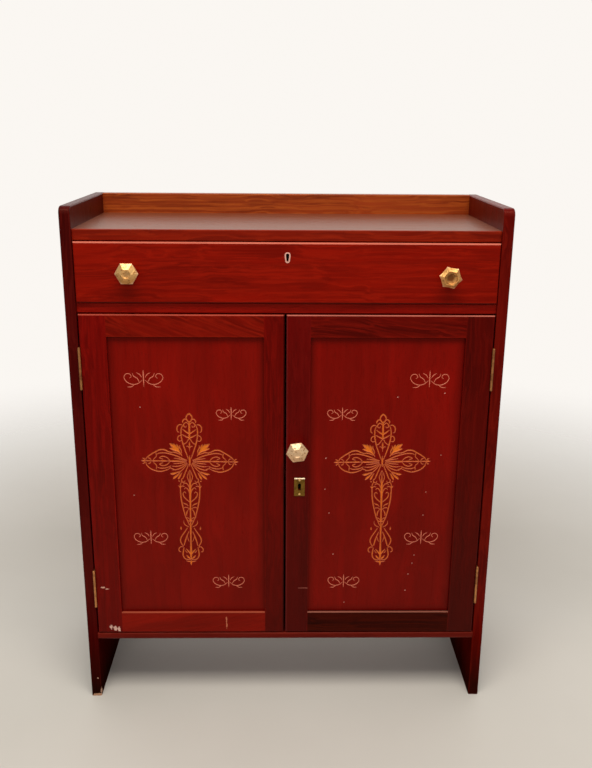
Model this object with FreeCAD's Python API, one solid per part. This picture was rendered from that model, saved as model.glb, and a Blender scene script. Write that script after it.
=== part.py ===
import FreeCAD, Part
import math
import os

# A floor-standing cupboard of red-stained boards: one drawer above a pair of framed doors, and a low
# gallery round the top. Millimetres, +Z up, +X to the right as one faces the front, +Y to the back.
# The origin is on the floor, under the middle of the whole piece with its knobs.

Vector = FreeCAD.Vector
forward = Vector(0, -1, 0)

# Carcass
cabinet_width = 720.0
cabinet_height = 896.0
cabinet_depth = 284.0
side_thickness = 18.0
side_corner_radius = 12.0
side_edge_radius = 2.5
gallery_height = 36.0
gallery_thickness = 18.0
gallery_edge_radius = 2.0
gallery_tenon_shoulder = 8.0
gallery_rebate_depth = 3.0
top_thickness = 18.0
front_setback = 7.0
divider_thickness = 16.0
divider_depth = 60.0
bottom_thickness = 13.0
bottom_edge_radius = 4.0
foot_height = 120.0
board_edge_radius = 1.5
housing_depth = 6.0
housing_stop = 10.0
housing_shoulder = 4.0
back_thickness = 5.0
back_rebate = 8.0
runner_width = 24.0
shelf_thickness = 13.0
shelf_setback = 45.0
shelf_rise = 290.0
shelf_clearance = 0.5
cleat_width = 15.0
cleat_height = 20.0
stop_clearance = 0.3

# Stops that hold the doors and the drawer flush with the front
door_stop_width = 40.0
door_stop_depth = 16.0
door_stop_height = 15.0
door_stop_inset = 68.5
drawer_stop_width = 40.0
drawer_stop_depth = 18.0
drawer_stop_inset = 156.0

# Drawer
drawer_front_height = 99.0
drawer_front_thickness = 18.0
drawer_gap = 1.0
drawer_edge_radius = 3.0
drawer_rear_clearance = 39.0
drawer_side_thickness = 10.0
drawer_side_drop = 14.0
drawer_back_thickness = 10.0
drawer_back_inset = 12.0
drawer_back_housing = 4.0
drawer_back_drop = 6.0
drawer_bottom_thickness = 4.0
drawer_bottom_rise = 9.0
drawer_groove_depth = 5.0
drawer_groove_clearance = 0.5
dovetail_count = 3
dovetail_depth = 12.0
dovetail_flare = 2.0
dovetail_root_share = 0.55

# Doors
door_thickness = 18.0
door_gap = 1.5
door_side_gap = 2.0
meeting_gap = 3.0
meeting_offset = 2.75
left_hinge_stile_width = 44.0
right_hinge_stile_width = 46.0
left_meeting_stile_width = 34.0
right_meeting_stile_width = 40.0
top_rail_height = 37.0
bottom_rail_height = 40.5
door_edge_radius = 2.5
panel_thickness = 8.0
panel_setback = 6.0
panel_entry = 6.0
groove_clearance = 1.0
tenon_length = 26.0
tenon_haunch = 9.0

# Butt hinges, with the barrel proud of the front
hinge_length = 70.0
upper_hinge_inset = 56.0
left_lower_hinge_inset = 55.0
right_lower_hinge_inset = 62.0
barrel_radius = 2.1
barrel_clearance = 0.3
hinge_pin_radius = 1.1
hinge_pin_clearance = 0.05
hinge_pin_head = 1.4
knuckle_count = 5
knuckle_clearance = 0.2
leaf_thickness = 1.5
leaf_gap = 0.2
leaf_depth = 15.0
hinge_screw_count = 3
hinge_screw_place_share = 0.55

# Slotted countersunk screws and panel pins
screw_head_radius = 2.8
screw_head_height = 1.8
screw_shank_radius = 1.4
screw_slot_width = 0.7
screw_slot_depth = 0.6
screw_bite = 9.0
runner_screw_count = 2
panel_pin_head_radius = 1.7
panel_pin_head_height = 0.8
panel_pin_radius = 0.8
panel_pin_length = 20.0
panel_pin_side_count = 6
panel_pin_end_count = 6

# Six-sided knobs: the stations along the axis are shares of the projection
knob_projection = 27.0
knob_radius = 19.0
knob_back_radius = 9.5
knob_face_radius = 10.0
knob_base_radius = 9.0
knob_neck_radius = 6.0
knob_base_share = 0.1
knob_back_share = 0.36
knob_rim_shares = (0.74, 0.8)
knob_dish_radius = 7.5
knob_dish_floor_radius = 5.0
knob_dish_depth = 3.5
left_knob_inset = 87.0
right_knob_inset = 82.0
left_knob_raise = 2.0
right_knob_raise = -2.0
knob_plate_gap = 35.0
door_knob_inset_share = 0.47
left_knob_turn = 0.0
right_knob_turn = -10.0
door_knob_turn = 8.0
knob_screw_radius = 2.0
knob_screw_clearance = 0.2
knob_screw_bite = 8.0
knob_screw_head_radius = 4.5
knob_screw_head_height = 2.5

# Keyholes and locks
drawer_key_upper_radius = 2.7
drawer_key_lower_radius = 1.7
drawer_key_drop = 8.7
keyhole_liner_wall = 2.1
keyhole_liner_backing = 3.0
keyhole_liner_proud = 0.5
drawer_key_inset = 20.0
lock_case_thickness = 9.0
lock_wall = 2.0
lock_slide_clearance = 0.15
lock_screw_inset = 6.0
lock_screw_bite = 5.0
lock_key_clearance = 3.0
drawer_lock_width = 52.0
drawer_lock_height = 42.0
lock_bolt_thickness = 4.0
lock_bolt_recess = 0.2
drawer_bolt_width = 20.0
bolt_mortise_depth = 7.0
bolt_mortise_clearance = 1.0
door_lock_height = 44.0
door_lock_wood = 1.5
door_lock_rise = 287.0
door_lock_backset_share = 0.585
door_bolt_width = 15.0
lock_plate_width = 18.5
lock_plate_height = 34.0
lock_plate_thickness = 2.0
lock_plate_edge_radius = 0.8
lock_plate_key_drop = 8.0
door_key_upper_radius = 2.8
door_key_lower_radius = 2.5
plate_pin_inset = 4.2
plate_pin_radius = 1.3
plate_pin_head_radius = 1.9
plate_pin_head_height = 1.0
plate_pin_length = 9.0
strike_plate_height = 42.0
strike_plate_thickness = 1.2

# Small bolt inside the left door
slide_bolt_inset = 8.0
slide_bolt_plate_width = 16.0
slide_bolt_plate_length = 66.0
slide_bolt_plate_thickness = 1.5
slide_bolt_guide_length = 10.0
slide_bolt_guide_wall = 1.5
slide_bolt_radius = 3.0
slide_bolt_clearance = 0.08
slide_bolt_length = 72.0
slide_bolt_stud_radius = 2.2
slide_bolt_stud_length = 6.0
slide_bolt_socket_depth = 9.0
slide_bolt_socket_clearance = 1.0

# How far a cut runs past the face it opens, and the tolerance for picking edges by their place
overrun = 2.0
same_place = 0.001

# Levels and planes that the pieces share
half_width = cabinet_width / 2
inner_half = half_width - side_thickness
front_y = (knob_projection - cabinet_depth) / 2
back_y = front_y + cabinet_depth
inner_back_y = back_y - back_thickness
board_front_y = front_y + front_setback
top_high = cabinet_height - gallery_height
top_low = top_high - top_thickness
drawer_high = top_low - drawer_gap
drawer_low = drawer_high - drawer_front_height
divider_high = drawer_low - drawer_gap
divider_low = divider_high - divider_thickness
bottom_high = foot_height + bottom_thickness
door_high = divider_low - door_gap
door_low = bottom_high + door_gap
opening_high = door_high - top_rail_height
opening_low = door_low + bottom_rail_height
door_back_y = front_y + door_thickness
drawer_back_face_y = front_y + drawer_front_thickness
drawer_half = inner_half - drawer_gap
drawer_inner_half = drawer_half - drawer_side_thickness
drawer_bottom_low = divider_high + drawer_bottom_rise
drawer_bottom_high = drawer_bottom_low + drawer_bottom_thickness
groove_depth = panel_entry + groove_clearance
panel_ys = (front_y + panel_setback, front_y + panel_setback + panel_thickness)
meeting_edges = {-1: meeting_gap / 2 + meeting_offset, 1: meeting_gap / 2 - meeting_offset}
meeting_widths = {-1: left_meeting_stile_width, 1: right_meeting_stile_width}
hinge_stile_widths = {-1: left_hinge_stile_width, 1: right_hinge_stile_width}
door_edge = inner_half - door_side_gap
axis_y = front_y - barrel_clearance - barrel_radius
upper_hinge_low = door_high - upper_hinge_inset - hinge_length
hinge_lows = {
    (-1, "upper"): upper_hinge_low,
    (-1, "lower"): door_low + left_lower_hinge_inset,
    (1, "upper"): upper_hinge_low,
    (1, "lower"): door_low + right_lower_hinge_inset,
}
door_lock_z = door_low + door_lock_rise
door_key_x = meeting_edges[1] + door_lock_backset_share * right_meeting_stile_width

# Finished solids by node, the cuts that each node still has to take, and the groups of fasteners
nodes = {}
cuts = {}
groups = {}


def block(xs, ys, zs):
    """Box between two places on each axis, given in either order."""
    low = Vector(min(xs), min(ys), min(zs))
    high = Vector(max(xs), max(ys), max(zs))
    size = high - low
    return Part.makeBox(size.x, size.y, size.z, low)


def rounded(shape, radius, wanted):
    """Shape with a fillet on each edge whose bounding box is wanted."""
    return shape.makeFillet(radius, [edge for edge in shape.Edges if wanted(edge.BoundBox)])


def in_plane_y(box, y):
    """True for an edge that lies in the upright plane at y."""
    return abs(box.YMin - y) < same_place and abs(box.YMax - y) < same_place


def spread(low, high, count):
    """Even places between two ends, with half a pitch left at each end."""
    pitch = (high - low) / count
    return [low + pitch * (index + 0.5) for index in range(count)]


def cut_from(node, *cutters):
    """Notes cuts that a node takes when it is finished."""
    cuts.setdefault(node, []).extend(cutters)


def fasten(group, solid, holders, slot=None):
    """Adds a fastener to its group, and a hole of its own shape to each piece that it holds."""
    groups.setdefault(group, []).append(solid.cut(slot) if slot else solid)
    for holder in holders:
        cut_from(holder, solid)


def along(shape, start, direction):
    """Shape built up the Z axis, set at start with its Z along direction."""
    placed = shape.copy()
    placed.Placement = FreeCAD.Placement(start, FreeCAD.Rotation(Vector(0, 0, 1), direction))
    return placed


def wood_screw(group, start, direction, length, holders):
    """Countersunk screw with a slotted head, flush at start and driven along direction."""
    head = Part.makeCone(screw_head_radius, screw_shank_radius, screw_head_height)
    screw = head.fuse(Part.makeCylinder(screw_shank_radius, length)).removeSplitter()
    reach = screw_head_radius + overrun
    slot_half = screw_slot_width / 2
    slot = block((-reach, reach), (-slot_half, slot_half), (-overrun, screw_slot_depth))
    fasten(group, along(screw, start, direction), holders, along(slot, start, direction))


def keyhole(x, z, drop, ys, upper, lower):
    """Prism through ys: a circle at x, z and a smaller one below it, joined by their tangents."""
    tilt = math.asin((lower - upper) / drop)

    def point(radius, centre_z, side, angle):
        return Vector(x + side * radius * math.cos(angle), min(ys), centre_z + radius * math.sin(angle))

    upper_right = point(upper, z, 1, tilt)
    upper_left = point(upper, z, -1, tilt)
    lower_right = point(lower, z - drop, 1, tilt)
    lower_left = point(lower, z - drop, -1, tilt)
    top = point(upper, z, 1, math.pi / 2)
    foot = point(lower, z - drop, 1, -math.pi / 2)
    edges = [
        Part.Arc(upper_right, top, upper_left).toShape(),
        Part.LineSegment(upper_left, lower_left).toShape(),
        Part.Arc(lower_left, foot, lower_right).toShape(),
        Part.LineSegment(lower_right, upper_right).toShape(),
    ]
    return Part.Face(Part.Wire(edges)).extrude(Vector(0, max(ys) - min(ys), 0))


def side(hand):
    """Full-height side board with a rounded front top corner and eased front and top edges."""
    outer_x = hand * half_width
    rise = cabinet_height - side_corner_radius
    run = front_y + side_corner_radius
    bow = side_corner_radius * math.cos(math.pi / 4)
    start = Vector(outer_x, front_y, rise)
    middle = Vector(outer_x, run - bow, rise + bow)
    end = Vector(outer_x, run, cabinet_height)
    back_top = Vector(outer_x, back_y, cabinet_height)
    back_foot = Vector(outer_x, back_y, 0)
    front_foot = Vector(outer_x, front_y, 0)
    edges = [
        Part.LineSegment(front_foot, start).toShape(),
        Part.Arc(start, middle, end).toShape(),
        Part.LineSegment(end, back_top).toShape(),
        Part.LineSegment(back_top, back_foot).toShape(),
        Part.LineSegment(back_foot, front_foot).toShape(),
    ]
    board = Part.Face(Part.Wire(edges)).extrude(Vector(-hand * side_thickness, 0, 0))

    def eased(box):
        on_face = box.XLength < same_place
        return on_face and box.ZMax > same_place and box.YMin < back_y - same_place

    return rounded(board, side_edge_radius, eased)


def housed_board(node, ys, zs, edge_radius):
    """Board between the sides, its front eased and its bare-faced end tongues in stopped housings."""
    board = block((-inner_half, inner_half), ys, zs)
    board = rounded(board, edge_radius, lambda box: box.XLength > same_place and in_plane_y(box, min(ys)))
    reach = inner_half + housing_depth
    tongue_zs = (min(zs), max(zs) - housing_shoulder)
    tongue = block((-reach, reach), (min(ys) + housing_stop, max(ys)), tongue_zs)
    nodes[node] = board.fuse(tongue).removeSplitter()
    cut_from("left_side", tongue)
    cut_from("right_side", tongue)


def make_carcass():
    """Sides, top, gallery rail, divider, bottom, back, shelf and what carries them."""
    nodes["left_side"] = side(-1)
    nodes["right_side"] = side(1)
    housed_board("top_board", (board_front_y, inner_back_y), (top_low, top_high), board_edge_radius)
    divider_ys = (board_front_y, board_front_y + divider_depth)
    housed_board("drawer_divider", divider_ys, (divider_low, divider_high), board_edge_radius)
    housed_board("bottom_board", (front_y, inner_back_y), (foot_height, bottom_high), bottom_edge_radius)

    rail_ys = (back_y - gallery_thickness, back_y)
    rail = block((-inner_half, inner_half), rail_ys, (top_high, cabinet_height))
    rail = rounded(
        rail,
        gallery_edge_radius,
        lambda box: box.XLength > same_place and abs(box.ZMin - cabinet_height) < same_place,
    )
    reach = inner_half + housing_depth
    tenon_zs = (top_high + gallery_tenon_shoulder, cabinet_height - gallery_tenon_shoulder)
    tenon = block((-reach, reach), (min(rail_ys), back_y - gallery_tenon_shoulder), tenon_zs)
    foot_zs = (top_high - gallery_rebate_depth, top_high)
    foot = block((-inner_half, inner_half), (min(rail_ys), inner_back_y), foot_zs)
    nodes["gallery_rail"] = rail.fuse([tenon, foot]).removeSplitter()
    cut_from("top_board", foot)
    cut_from("left_side", tenon)
    cut_from("right_side", tenon)

    back_half = inner_half + back_rebate
    back = block((-back_half, back_half), (inner_back_y, back_y), (foot_height, top_high))
    nodes["back_panel"] = back
    cut_from("left_side", back)
    cut_from("right_side", back)

    shelf_low = bottom_high + shelf_rise
    shelf_half = inner_half - shelf_clearance
    shelf_ys = (front_y + shelf_setback, inner_back_y)
    shelf_zs = (shelf_low, shelf_low + shelf_thickness)
    nodes["shelf"] = rounded(
        block((-shelf_half, shelf_half), shelf_ys, shelf_zs),
        board_edge_radius,
        lambda box: box.XLength > same_place and in_plane_y(box, min(shelf_ys)),
    )
    runner_ys = (max(divider_ys), inner_back_y)
    for hand, name in ((-1, "left"), (1, "right")):
        runner_x = hand * (inner_half - runner_width)
        runner_zs = (divider_low, divider_high)
        nodes[name + "_drawer_runner"] = block((hand * inner_half, runner_x), runner_ys, runner_zs)
        cleat_x = hand * (inner_half - cleat_width)
        cleat_zs = (shelf_low - cleat_height, shelf_low)
        nodes[name + "_shelf_cleat"] = block((hand * inner_half, cleat_x), shelf_ys, cleat_zs)
        outward = Vector(hand, 0, 0)
        for y in spread(min(runner_ys), max(runner_ys), runner_screw_count):
            start = Vector(runner_x, y, sum(runner_zs) / 2)
            holders = (name + "_drawer_runner", name + "_side")
            wood_screw("carcass_screws", start, outward, runner_width + screw_bite, holders)
        for y in spread(min(shelf_ys), max(shelf_ys), runner_screw_count):
            start = Vector(cleat_x, y, sum(cleat_zs) / 2)
            holders = (name + "_shelf_cleat", name + "_side")
            wood_screw("carcass_screws", start, outward, cleat_width + screw_bite, holders)


def make_stops():
    """Blocks under the divider that stop the doors, and on it that stop the drawer front."""
    door_stops = []
    drawer_stops = []
    for hand in (-1, 1):
        middle = hand * (meeting_edges[hand] + door_stop_inset + door_stop_width / 2)
        xs = (middle - door_stop_width / 2, middle + door_stop_width / 2)
        stop_y = door_back_y + stop_clearance
        ys = (stop_y, stop_y + door_stop_depth)
        door_stops.append(block(xs, ys, (divider_low - door_stop_height, divider_low)))
        start = Vector(middle, stop_y + door_stop_depth / 2, divider_low - door_stop_height)
        holders = ("door_stops", "drawer_divider")
        wood_screw("carcass_screws", start, Vector(0, 0, 1), door_stop_height + screw_bite, holders)

        middle = hand * (drawer_half - drawer_stop_inset - drawer_stop_width / 2)
        xs = (middle - drawer_stop_width / 2, middle + drawer_stop_width / 2)
        stop_y = drawer_back_face_y + stop_clearance
        stop_height = drawer_bottom_rise / 2
        zs = (divider_high, divider_high + stop_height)
        drawer_stops.append(block(xs, (stop_y, stop_y + drawer_stop_depth), zs))
    nodes["door_stops"] = Part.makeCompound(door_stops)
    nodes["drawer_stops"] = Part.makeCompound(drawer_stops)


def domed_head(radius, height):
    """Short cylinder up the Z axis with its top edge rounded."""
    disc = Part.makeCylinder(radius, height)
    return rounded(disc, height / 2, lambda box: box.ZMin > height - same_place)


def make_panel_pins():
    """Nails round the edge of the back panel, into the sides, the top and the bottom."""
    head = Part.makeCylinder(panel_pin_head_radius, panel_pin_head_height)
    pin = head.fuse(Part.makeCylinder(panel_pin_radius, panel_pin_length)).removeSplitter()
    for hand, name in ((-1, "left_side"), (1, "right_side")):
        x = hand * (inner_half + back_rebate / 2)
        for z in spread(foot_height, top_high, panel_pin_side_count):
            start = Vector(x, back_y, z)
            fasten("back_panel_pins", along(pin, start, forward), ("back_panel", name))
    for name, zs in (("top_board", (top_low, top_high)), ("bottom_board", (foot_height, bottom_high))):
        for x in spread(-inner_half, inner_half, panel_pin_end_count):
            start = Vector(x, back_y, sum(zs) / 2)
            fasten("back_panel_pins", along(pin, start, forward), ("back_panel", name))


def make_hinge(hand, height):
    """Butt hinge: a leaf on the side, a leaf on the door, and a pin with domed heads through the barrel."""
    door_name = "left" if hand < 0 else "right"
    low = hinge_lows[hand, height]
    axis_x = hand * (inner_half - door_side_gap / 2)
    leaf_ys = (front_y, front_y + leaf_depth)
    zs = (low, low + hinge_length)
    bore = Part.makeCylinder(
        hinge_pin_radius + hinge_pin_clearance,
        hinge_length + 2 * overrun,
        Vector(axis_x, axis_y, low - overrun),
    )
    knuckle_pitch = hinge_length / knuckle_count
    owners = (
        (hand, "side_leaf", door_name + "_side", hand * inner_half),
        (-hand, "door_leaf", door_name + "_door_hinge_stile", hand * door_edge),
    )
    for index, (towards, leaf, holder, wood_x) in enumerate(owners):
        face_x = axis_x + towards * leaf_gap / 2
        rear_x = face_x + towards * leaf_thickness
        shape = block((face_x, rear_x), leaf_ys, zs)
        for knuckle in range(index, knuckle_count, 2):
            foot = low + knuckle * knuckle_pitch + (knuckle_clearance / 2 if knuckle else 0)
            last = knuckle == knuckle_count - 1
            head = low + (knuckle + 1) * knuckle_pitch - (0 if last else knuckle_clearance / 2)
            barrel = Part.makeCylinder(barrel_radius, head - foot, Vector(axis_x, axis_y, foot))
            tab = block((face_x, rear_x), (axis_y, front_y), (foot, head))
            shape = shape.fuse([barrel, tab])
        node = "_".join((door_name, height, "hinge", leaf))
        nodes[node] = shape.removeSplitter().cut(bore)
        cut_from(holder, block((wood_x, rear_x), (front_y - overrun, max(leaf_ys)), zs))
        group = "hinge_side_screws" if leaf == "side_leaf" else door_name + "_door_screws"
        screw_y = front_y + hinge_screw_place_share * leaf_depth
        for z in spread(low, low + hinge_length, hinge_screw_count):
            start = Vector(face_x, screw_y, z)
            wood_screw(group, start, Vector(towards, 0, 0), leaf_thickness + screw_bite, (node, holder))

    pin = Part.makeCylinder(hinge_pin_radius, hinge_length, Vector(axis_x, axis_y, low))
    head = domed_head(barrel_radius, hinge_pin_head)
    lower_head = along(head, Vector(axis_x, axis_y, low), Vector(0, 0, -1))
    upper_head = along(head, Vector(axis_x, axis_y, max(zs)), Vector(0, 0, 1))
    groups.setdefault("hinge_pins", []).append(pin.fuse([lower_head, upper_head]).removeSplitter())


def make_door(hand):
    """Framed door: two stiles, two tenoned rails and a panel let into grooves."""
    name = "left_door_" if hand < 0 else "right_door_"
    frame_ys = (front_y, door_back_y)
    hinge_inner = door_edge - hinge_stile_widths[hand]
    meeting_inner = meeting_edges[hand] + meeting_widths[hand]

    def outer_edge(outer_x):
        def wanted(box):
            upright = box.ZLength > same_place and abs(box.XMin - outer_x) < same_place
            return in_plane_y(box, front_y) and (upright or box.XLength > same_place)

        return wanted

    stiles = (
        ("hinge_stile", hand * door_edge, hinge_inner),
        ("meeting_stile", hand * meeting_edges[hand], meeting_inner),
    )
    for stile, outer_x, inner in stiles:
        board = block((outer_x, hand * inner), frame_ys, (door_low, door_high))
        nodes[name + stile] = rounded(board, door_edge_radius, outer_edge(outer_x))

    rails = (("top_rail", opening_high, door_high, 1), ("bottom_rail", opening_low, door_low, -1))
    rail_xs = (hand * hinge_inner, hand * meeting_inner)
    for rail, inner_z, outer_z, up in rails:

        def outer_front(box):
            level = abs(box.ZMin - outer_z) < same_place and box.XLength > same_place
            return level and in_plane_y(box, front_y)

        board = rounded(block(rail_xs, frame_ys, (inner_z, outer_z)), door_edge_radius, outer_front)
        tenon_zs = (inner_z + up * groove_depth, outer_z - up * tenon_haunch)
        tenon_xs = (hand * (hinge_inner + tenon_length), hand * (meeting_inner - tenon_length))
        nodes[name + rail] = board.fuse(block(tenon_xs, panel_ys, tenon_zs)).removeSplitter()
        mortise_length = tenon_length + groove_clearance
        mortise_xs = (hand * (hinge_inner + mortise_length), hand * (meeting_inner - mortise_length))
        mortise = block(mortise_xs, panel_ys, tenon_zs)
        cut_from(name + "hinge_stile", mortise)
        cut_from(name + "meeting_stile", mortise)

    groove_xs = (hand * (hinge_inner + groove_depth), hand * (meeting_inner - groove_depth))
    groove = block(groove_xs, panel_ys, (opening_low - groove_depth, opening_high + groove_depth))
    for piece in ("hinge_stile", "meeting_stile", "top_rail", "bottom_rail"):
        cut_from(name + piece, groove)
    panel_xs = (hand * (hinge_inner + panel_entry), hand * (meeting_inner - panel_entry))
    panel_zs = (opening_low - panel_entry, opening_high + panel_entry)
    nodes[name + "panel"] = block(panel_xs, panel_ys, panel_zs)


def hexagon(radius, height):
    """Closed six-sided wire with a corner on +X."""
    corners = [Vector(radius, 0, height)]
    for step in range(1, 7):
        angle = step * math.pi / 3
        corners.append(Vector(radius * math.cos(angle), radius * math.sin(angle), height))
    return Part.makePolygon(corners)


def make_knob(node, x, z, turn, holder, holder_back_y, screw_group):
    """Six-sided flared knob with a bevelled, dished face, held by a screw from behind."""
    base = Part.makeCylinder(knob_base_radius, knob_base_share * knob_projection)
    neck = Part.makeCylinder(knob_neck_radius, knob_rim_shares[0] * knob_projection)
    stations = (
        hexagon(knob_back_radius, knob_back_share * knob_projection),
        hexagon(knob_radius, knob_rim_shares[0] * knob_projection),
        hexagon(knob_radius, knob_rim_shares[1] * knob_projection),
        hexagon(knob_face_radius, knob_projection),
    )
    head = Part.makeLoft(list(stations), True, True)
    dish_low = knob_projection - knob_dish_depth
    dish = Part.makeCone(knob_dish_floor_radius, knob_dish_radius, knob_dish_depth, Vector(0, 0, dish_low))
    shape = base.fuse([neck, head]).removeSplitter().cut(dish)
    shape.rotate(Vector(0, 0, 0), Vector(0, 0, 1), turn)
    shape.rotate(Vector(0, 0, 0), Vector(1, 0, 0), 90)
    shape.translate(Vector(x, front_y, z))
    nodes[node] = shape

    rear = Vector(x, holder_back_y, z)
    through = holder_back_y - front_y
    shank = Part.makeCylinder(knob_screw_radius, through + knob_screw_bite, rear, forward)
    head = Part.makeCylinder(knob_screw_head_radius, knob_screw_head_height, rear, Vector(0, 1, 0))
    screw = shank.fuse(head).removeSplitter()
    head_y = holder_back_y + knob_screw_head_height
    slot_ys = (head_y - screw_slot_depth, head_y + overrun)
    slot_reach = knob_screw_head_radius + overrun
    slot_zs = (z - screw_slot_width / 2, z + screw_slot_width / 2)
    slot = block((x - slot_reach, x + slot_reach), slot_ys, slot_zs)
    fasten(screw_group, screw, (node,), slot)
    hole = Part.makeCylinder(knob_screw_radius + knob_screw_clearance, through, rear, forward)
    cut_from(holder, hole)


def make_drawer():
    """Drawer front with lapped dovetails, two sides, a housed back and a bottom in grooves."""
    front_xs = (-drawer_half, drawer_half)
    front = block(front_xs, (front_y, drawer_back_face_y), (drawer_low, drawer_high))
    nodes["drawer_front"] = rounded(front, drawer_edge_radius, lambda box: in_plane_y(box, front_y))
    box_back_y = inner_back_y - drawer_rear_clearance
    side_zs = (divider_high, drawer_high - drawer_side_drop)
    tail_front_y = drawer_back_face_y - dovetail_depth
    tail_zs = (drawer_low + drawer_edge_radius, max(side_zs))
    pitch = (max(tail_zs) - min(tail_zs)) / dovetail_count
    root = dovetail_root_share * pitch / 2
    tip = root + dovetail_flare
    back_ys = (box_back_y - drawer_back_inset - drawer_back_thickness, box_back_y - drawer_back_inset)
    back_half = drawer_inner_half + drawer_back_housing
    back_zs = (drawer_bottom_high, max(side_zs) - drawer_back_drop)
    back = block((-back_half, back_half), back_ys, back_zs)
    nodes["drawer_back"] = back
    groove_half = drawer_inner_half + drawer_groove_depth
    bottom_zs = (drawer_bottom_low, drawer_bottom_high)
    groove_front_y = drawer_back_face_y - drawer_groove_depth
    groove = block((-groove_half, groove_half), (groove_front_y, box_back_y), bottom_zs)
    bottom_half = groove_half - drawer_groove_clearance
    bottom_front_y = groove_front_y + drawer_groove_clearance
    nodes["drawer_bottom"] = block((-bottom_half, bottom_half), (bottom_front_y, box_back_y), bottom_zs)
    cut_from("drawer_front", groove)

    for hand, name in ((-1, "drawer_left_side"), (1, "drawer_right_side")):
        xs = (hand * drawer_half, hand * drawer_inner_half)
        board = block(xs, (drawer_back_face_y, box_back_y), side_zs)
        tails = []
        for z in spread(min(tail_zs), max(tail_zs), dovetail_count):
            outline = [
                Vector(min(xs), drawer_back_face_y, z - root),
                Vector(min(xs), tail_front_y, z - tip),
                Vector(min(xs), tail_front_y, z + tip),
                Vector(min(xs), drawer_back_face_y, z + root),
                Vector(min(xs), drawer_back_face_y, z - root),
            ]
            tails.append(Part.Face(Part.makePolygon(outline)).extrude(Vector(drawer_side_thickness, 0, 0)))
        nodes[name] = board.fuse(tails).removeSplitter()
        cut_from(name, groove, back)
        cut_from("drawer_front", *tails)

    middle_z = (drawer_low + drawer_high) / 2
    knobs = (
        ("drawer_left_knob", left_knob_inset - drawer_half, left_knob_raise, left_knob_turn),
        ("drawer_right_knob", drawer_half - right_knob_inset, right_knob_raise, right_knob_turn),
    )
    for node, x, knob_raise, turn in knobs:
        z = middle_z + knob_raise
        make_knob(node, x, z, turn, "drawer_front", drawer_back_face_y, "drawer_knob_screws")


def make_drawer_lock():
    """Lock let into the back of the drawer front, its rising bolt, and the keyhole with its liner."""
    case_ys = (drawer_back_face_y - lock_case_thickness, drawer_back_face_y)
    middle_y = sum(case_ys) / 2
    case_zs = (drawer_high - drawer_lock_height, drawer_high)
    case = block((-drawer_lock_width / 2, drawer_lock_width / 2), case_ys, case_zs)
    cut_from("drawer_front", case)
    key_z = drawer_high - drawer_key_inset
    bolt_low = key_z + drawer_key_upper_radius + lock_key_clearance
    bolt_high = drawer_high - lock_bolt_recess
    half = drawer_bolt_width / 2
    bolt_ys = (middle_y - lock_bolt_thickness / 2, middle_y + lock_bolt_thickness / 2)
    nodes["drawer_lock_bolt"] = block((-half, half), bolt_ys, (bolt_low, bolt_high))
    cavity_half = half + lock_slide_clearance
    cavity_ys = (min(bolt_ys) - lock_slide_clearance, max(bolt_ys) + lock_slide_clearance)
    cavity = block((-cavity_half, cavity_half), cavity_ys, (bolt_low, drawer_high + overrun))
    key_ys = (front_y - overrun, max(case_ys) - lock_wall)
    key = keyhole(0, key_z, drawer_key_drop, key_ys, drawer_key_upper_radius, drawer_key_lower_radius)
    nodes["drawer_lock_case"] = case.cut([cavity, key])
    for x in (-drawer_lock_width / 2 + lock_screw_inset, drawer_lock_width / 2 - lock_screw_inset):
        for z in (min(case_zs) + lock_screw_inset, max(case_zs) - lock_screw_inset):
            start = Vector(x, drawer_back_face_y, z)
            holders = ("drawer_lock_case", "drawer_front")
            wood_screw("drawer_lock_screws", start, forward, lock_case_thickness + lock_screw_bite, holders)

    liner_ys = (front_y - keyhole_liner_proud, min(case_ys) - keyhole_liner_backing)
    liner_upper = drawer_key_upper_radius + keyhole_liner_wall
    liner_lower = drawer_key_lower_radius + keyhole_liner_wall
    liner = keyhole(0, key_z, drawer_key_drop, liner_ys, liner_upper, liner_lower)
    cut_from("drawer_front", liner, key)
    nodes["drawer_keyhole_liner"] = liner.cut(key)

    mortise_half = half + bolt_mortise_clearance
    mortise_ys = (min(bolt_ys) - bolt_mortise_clearance, max(bolt_ys) + bolt_mortise_clearance)
    mortise_zs = (top_low - overrun, top_low + bolt_mortise_depth)
    mortise = block((-mortise_half, mortise_half), mortise_ys, mortise_zs)
    cut_from("top_board", mortise)


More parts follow.
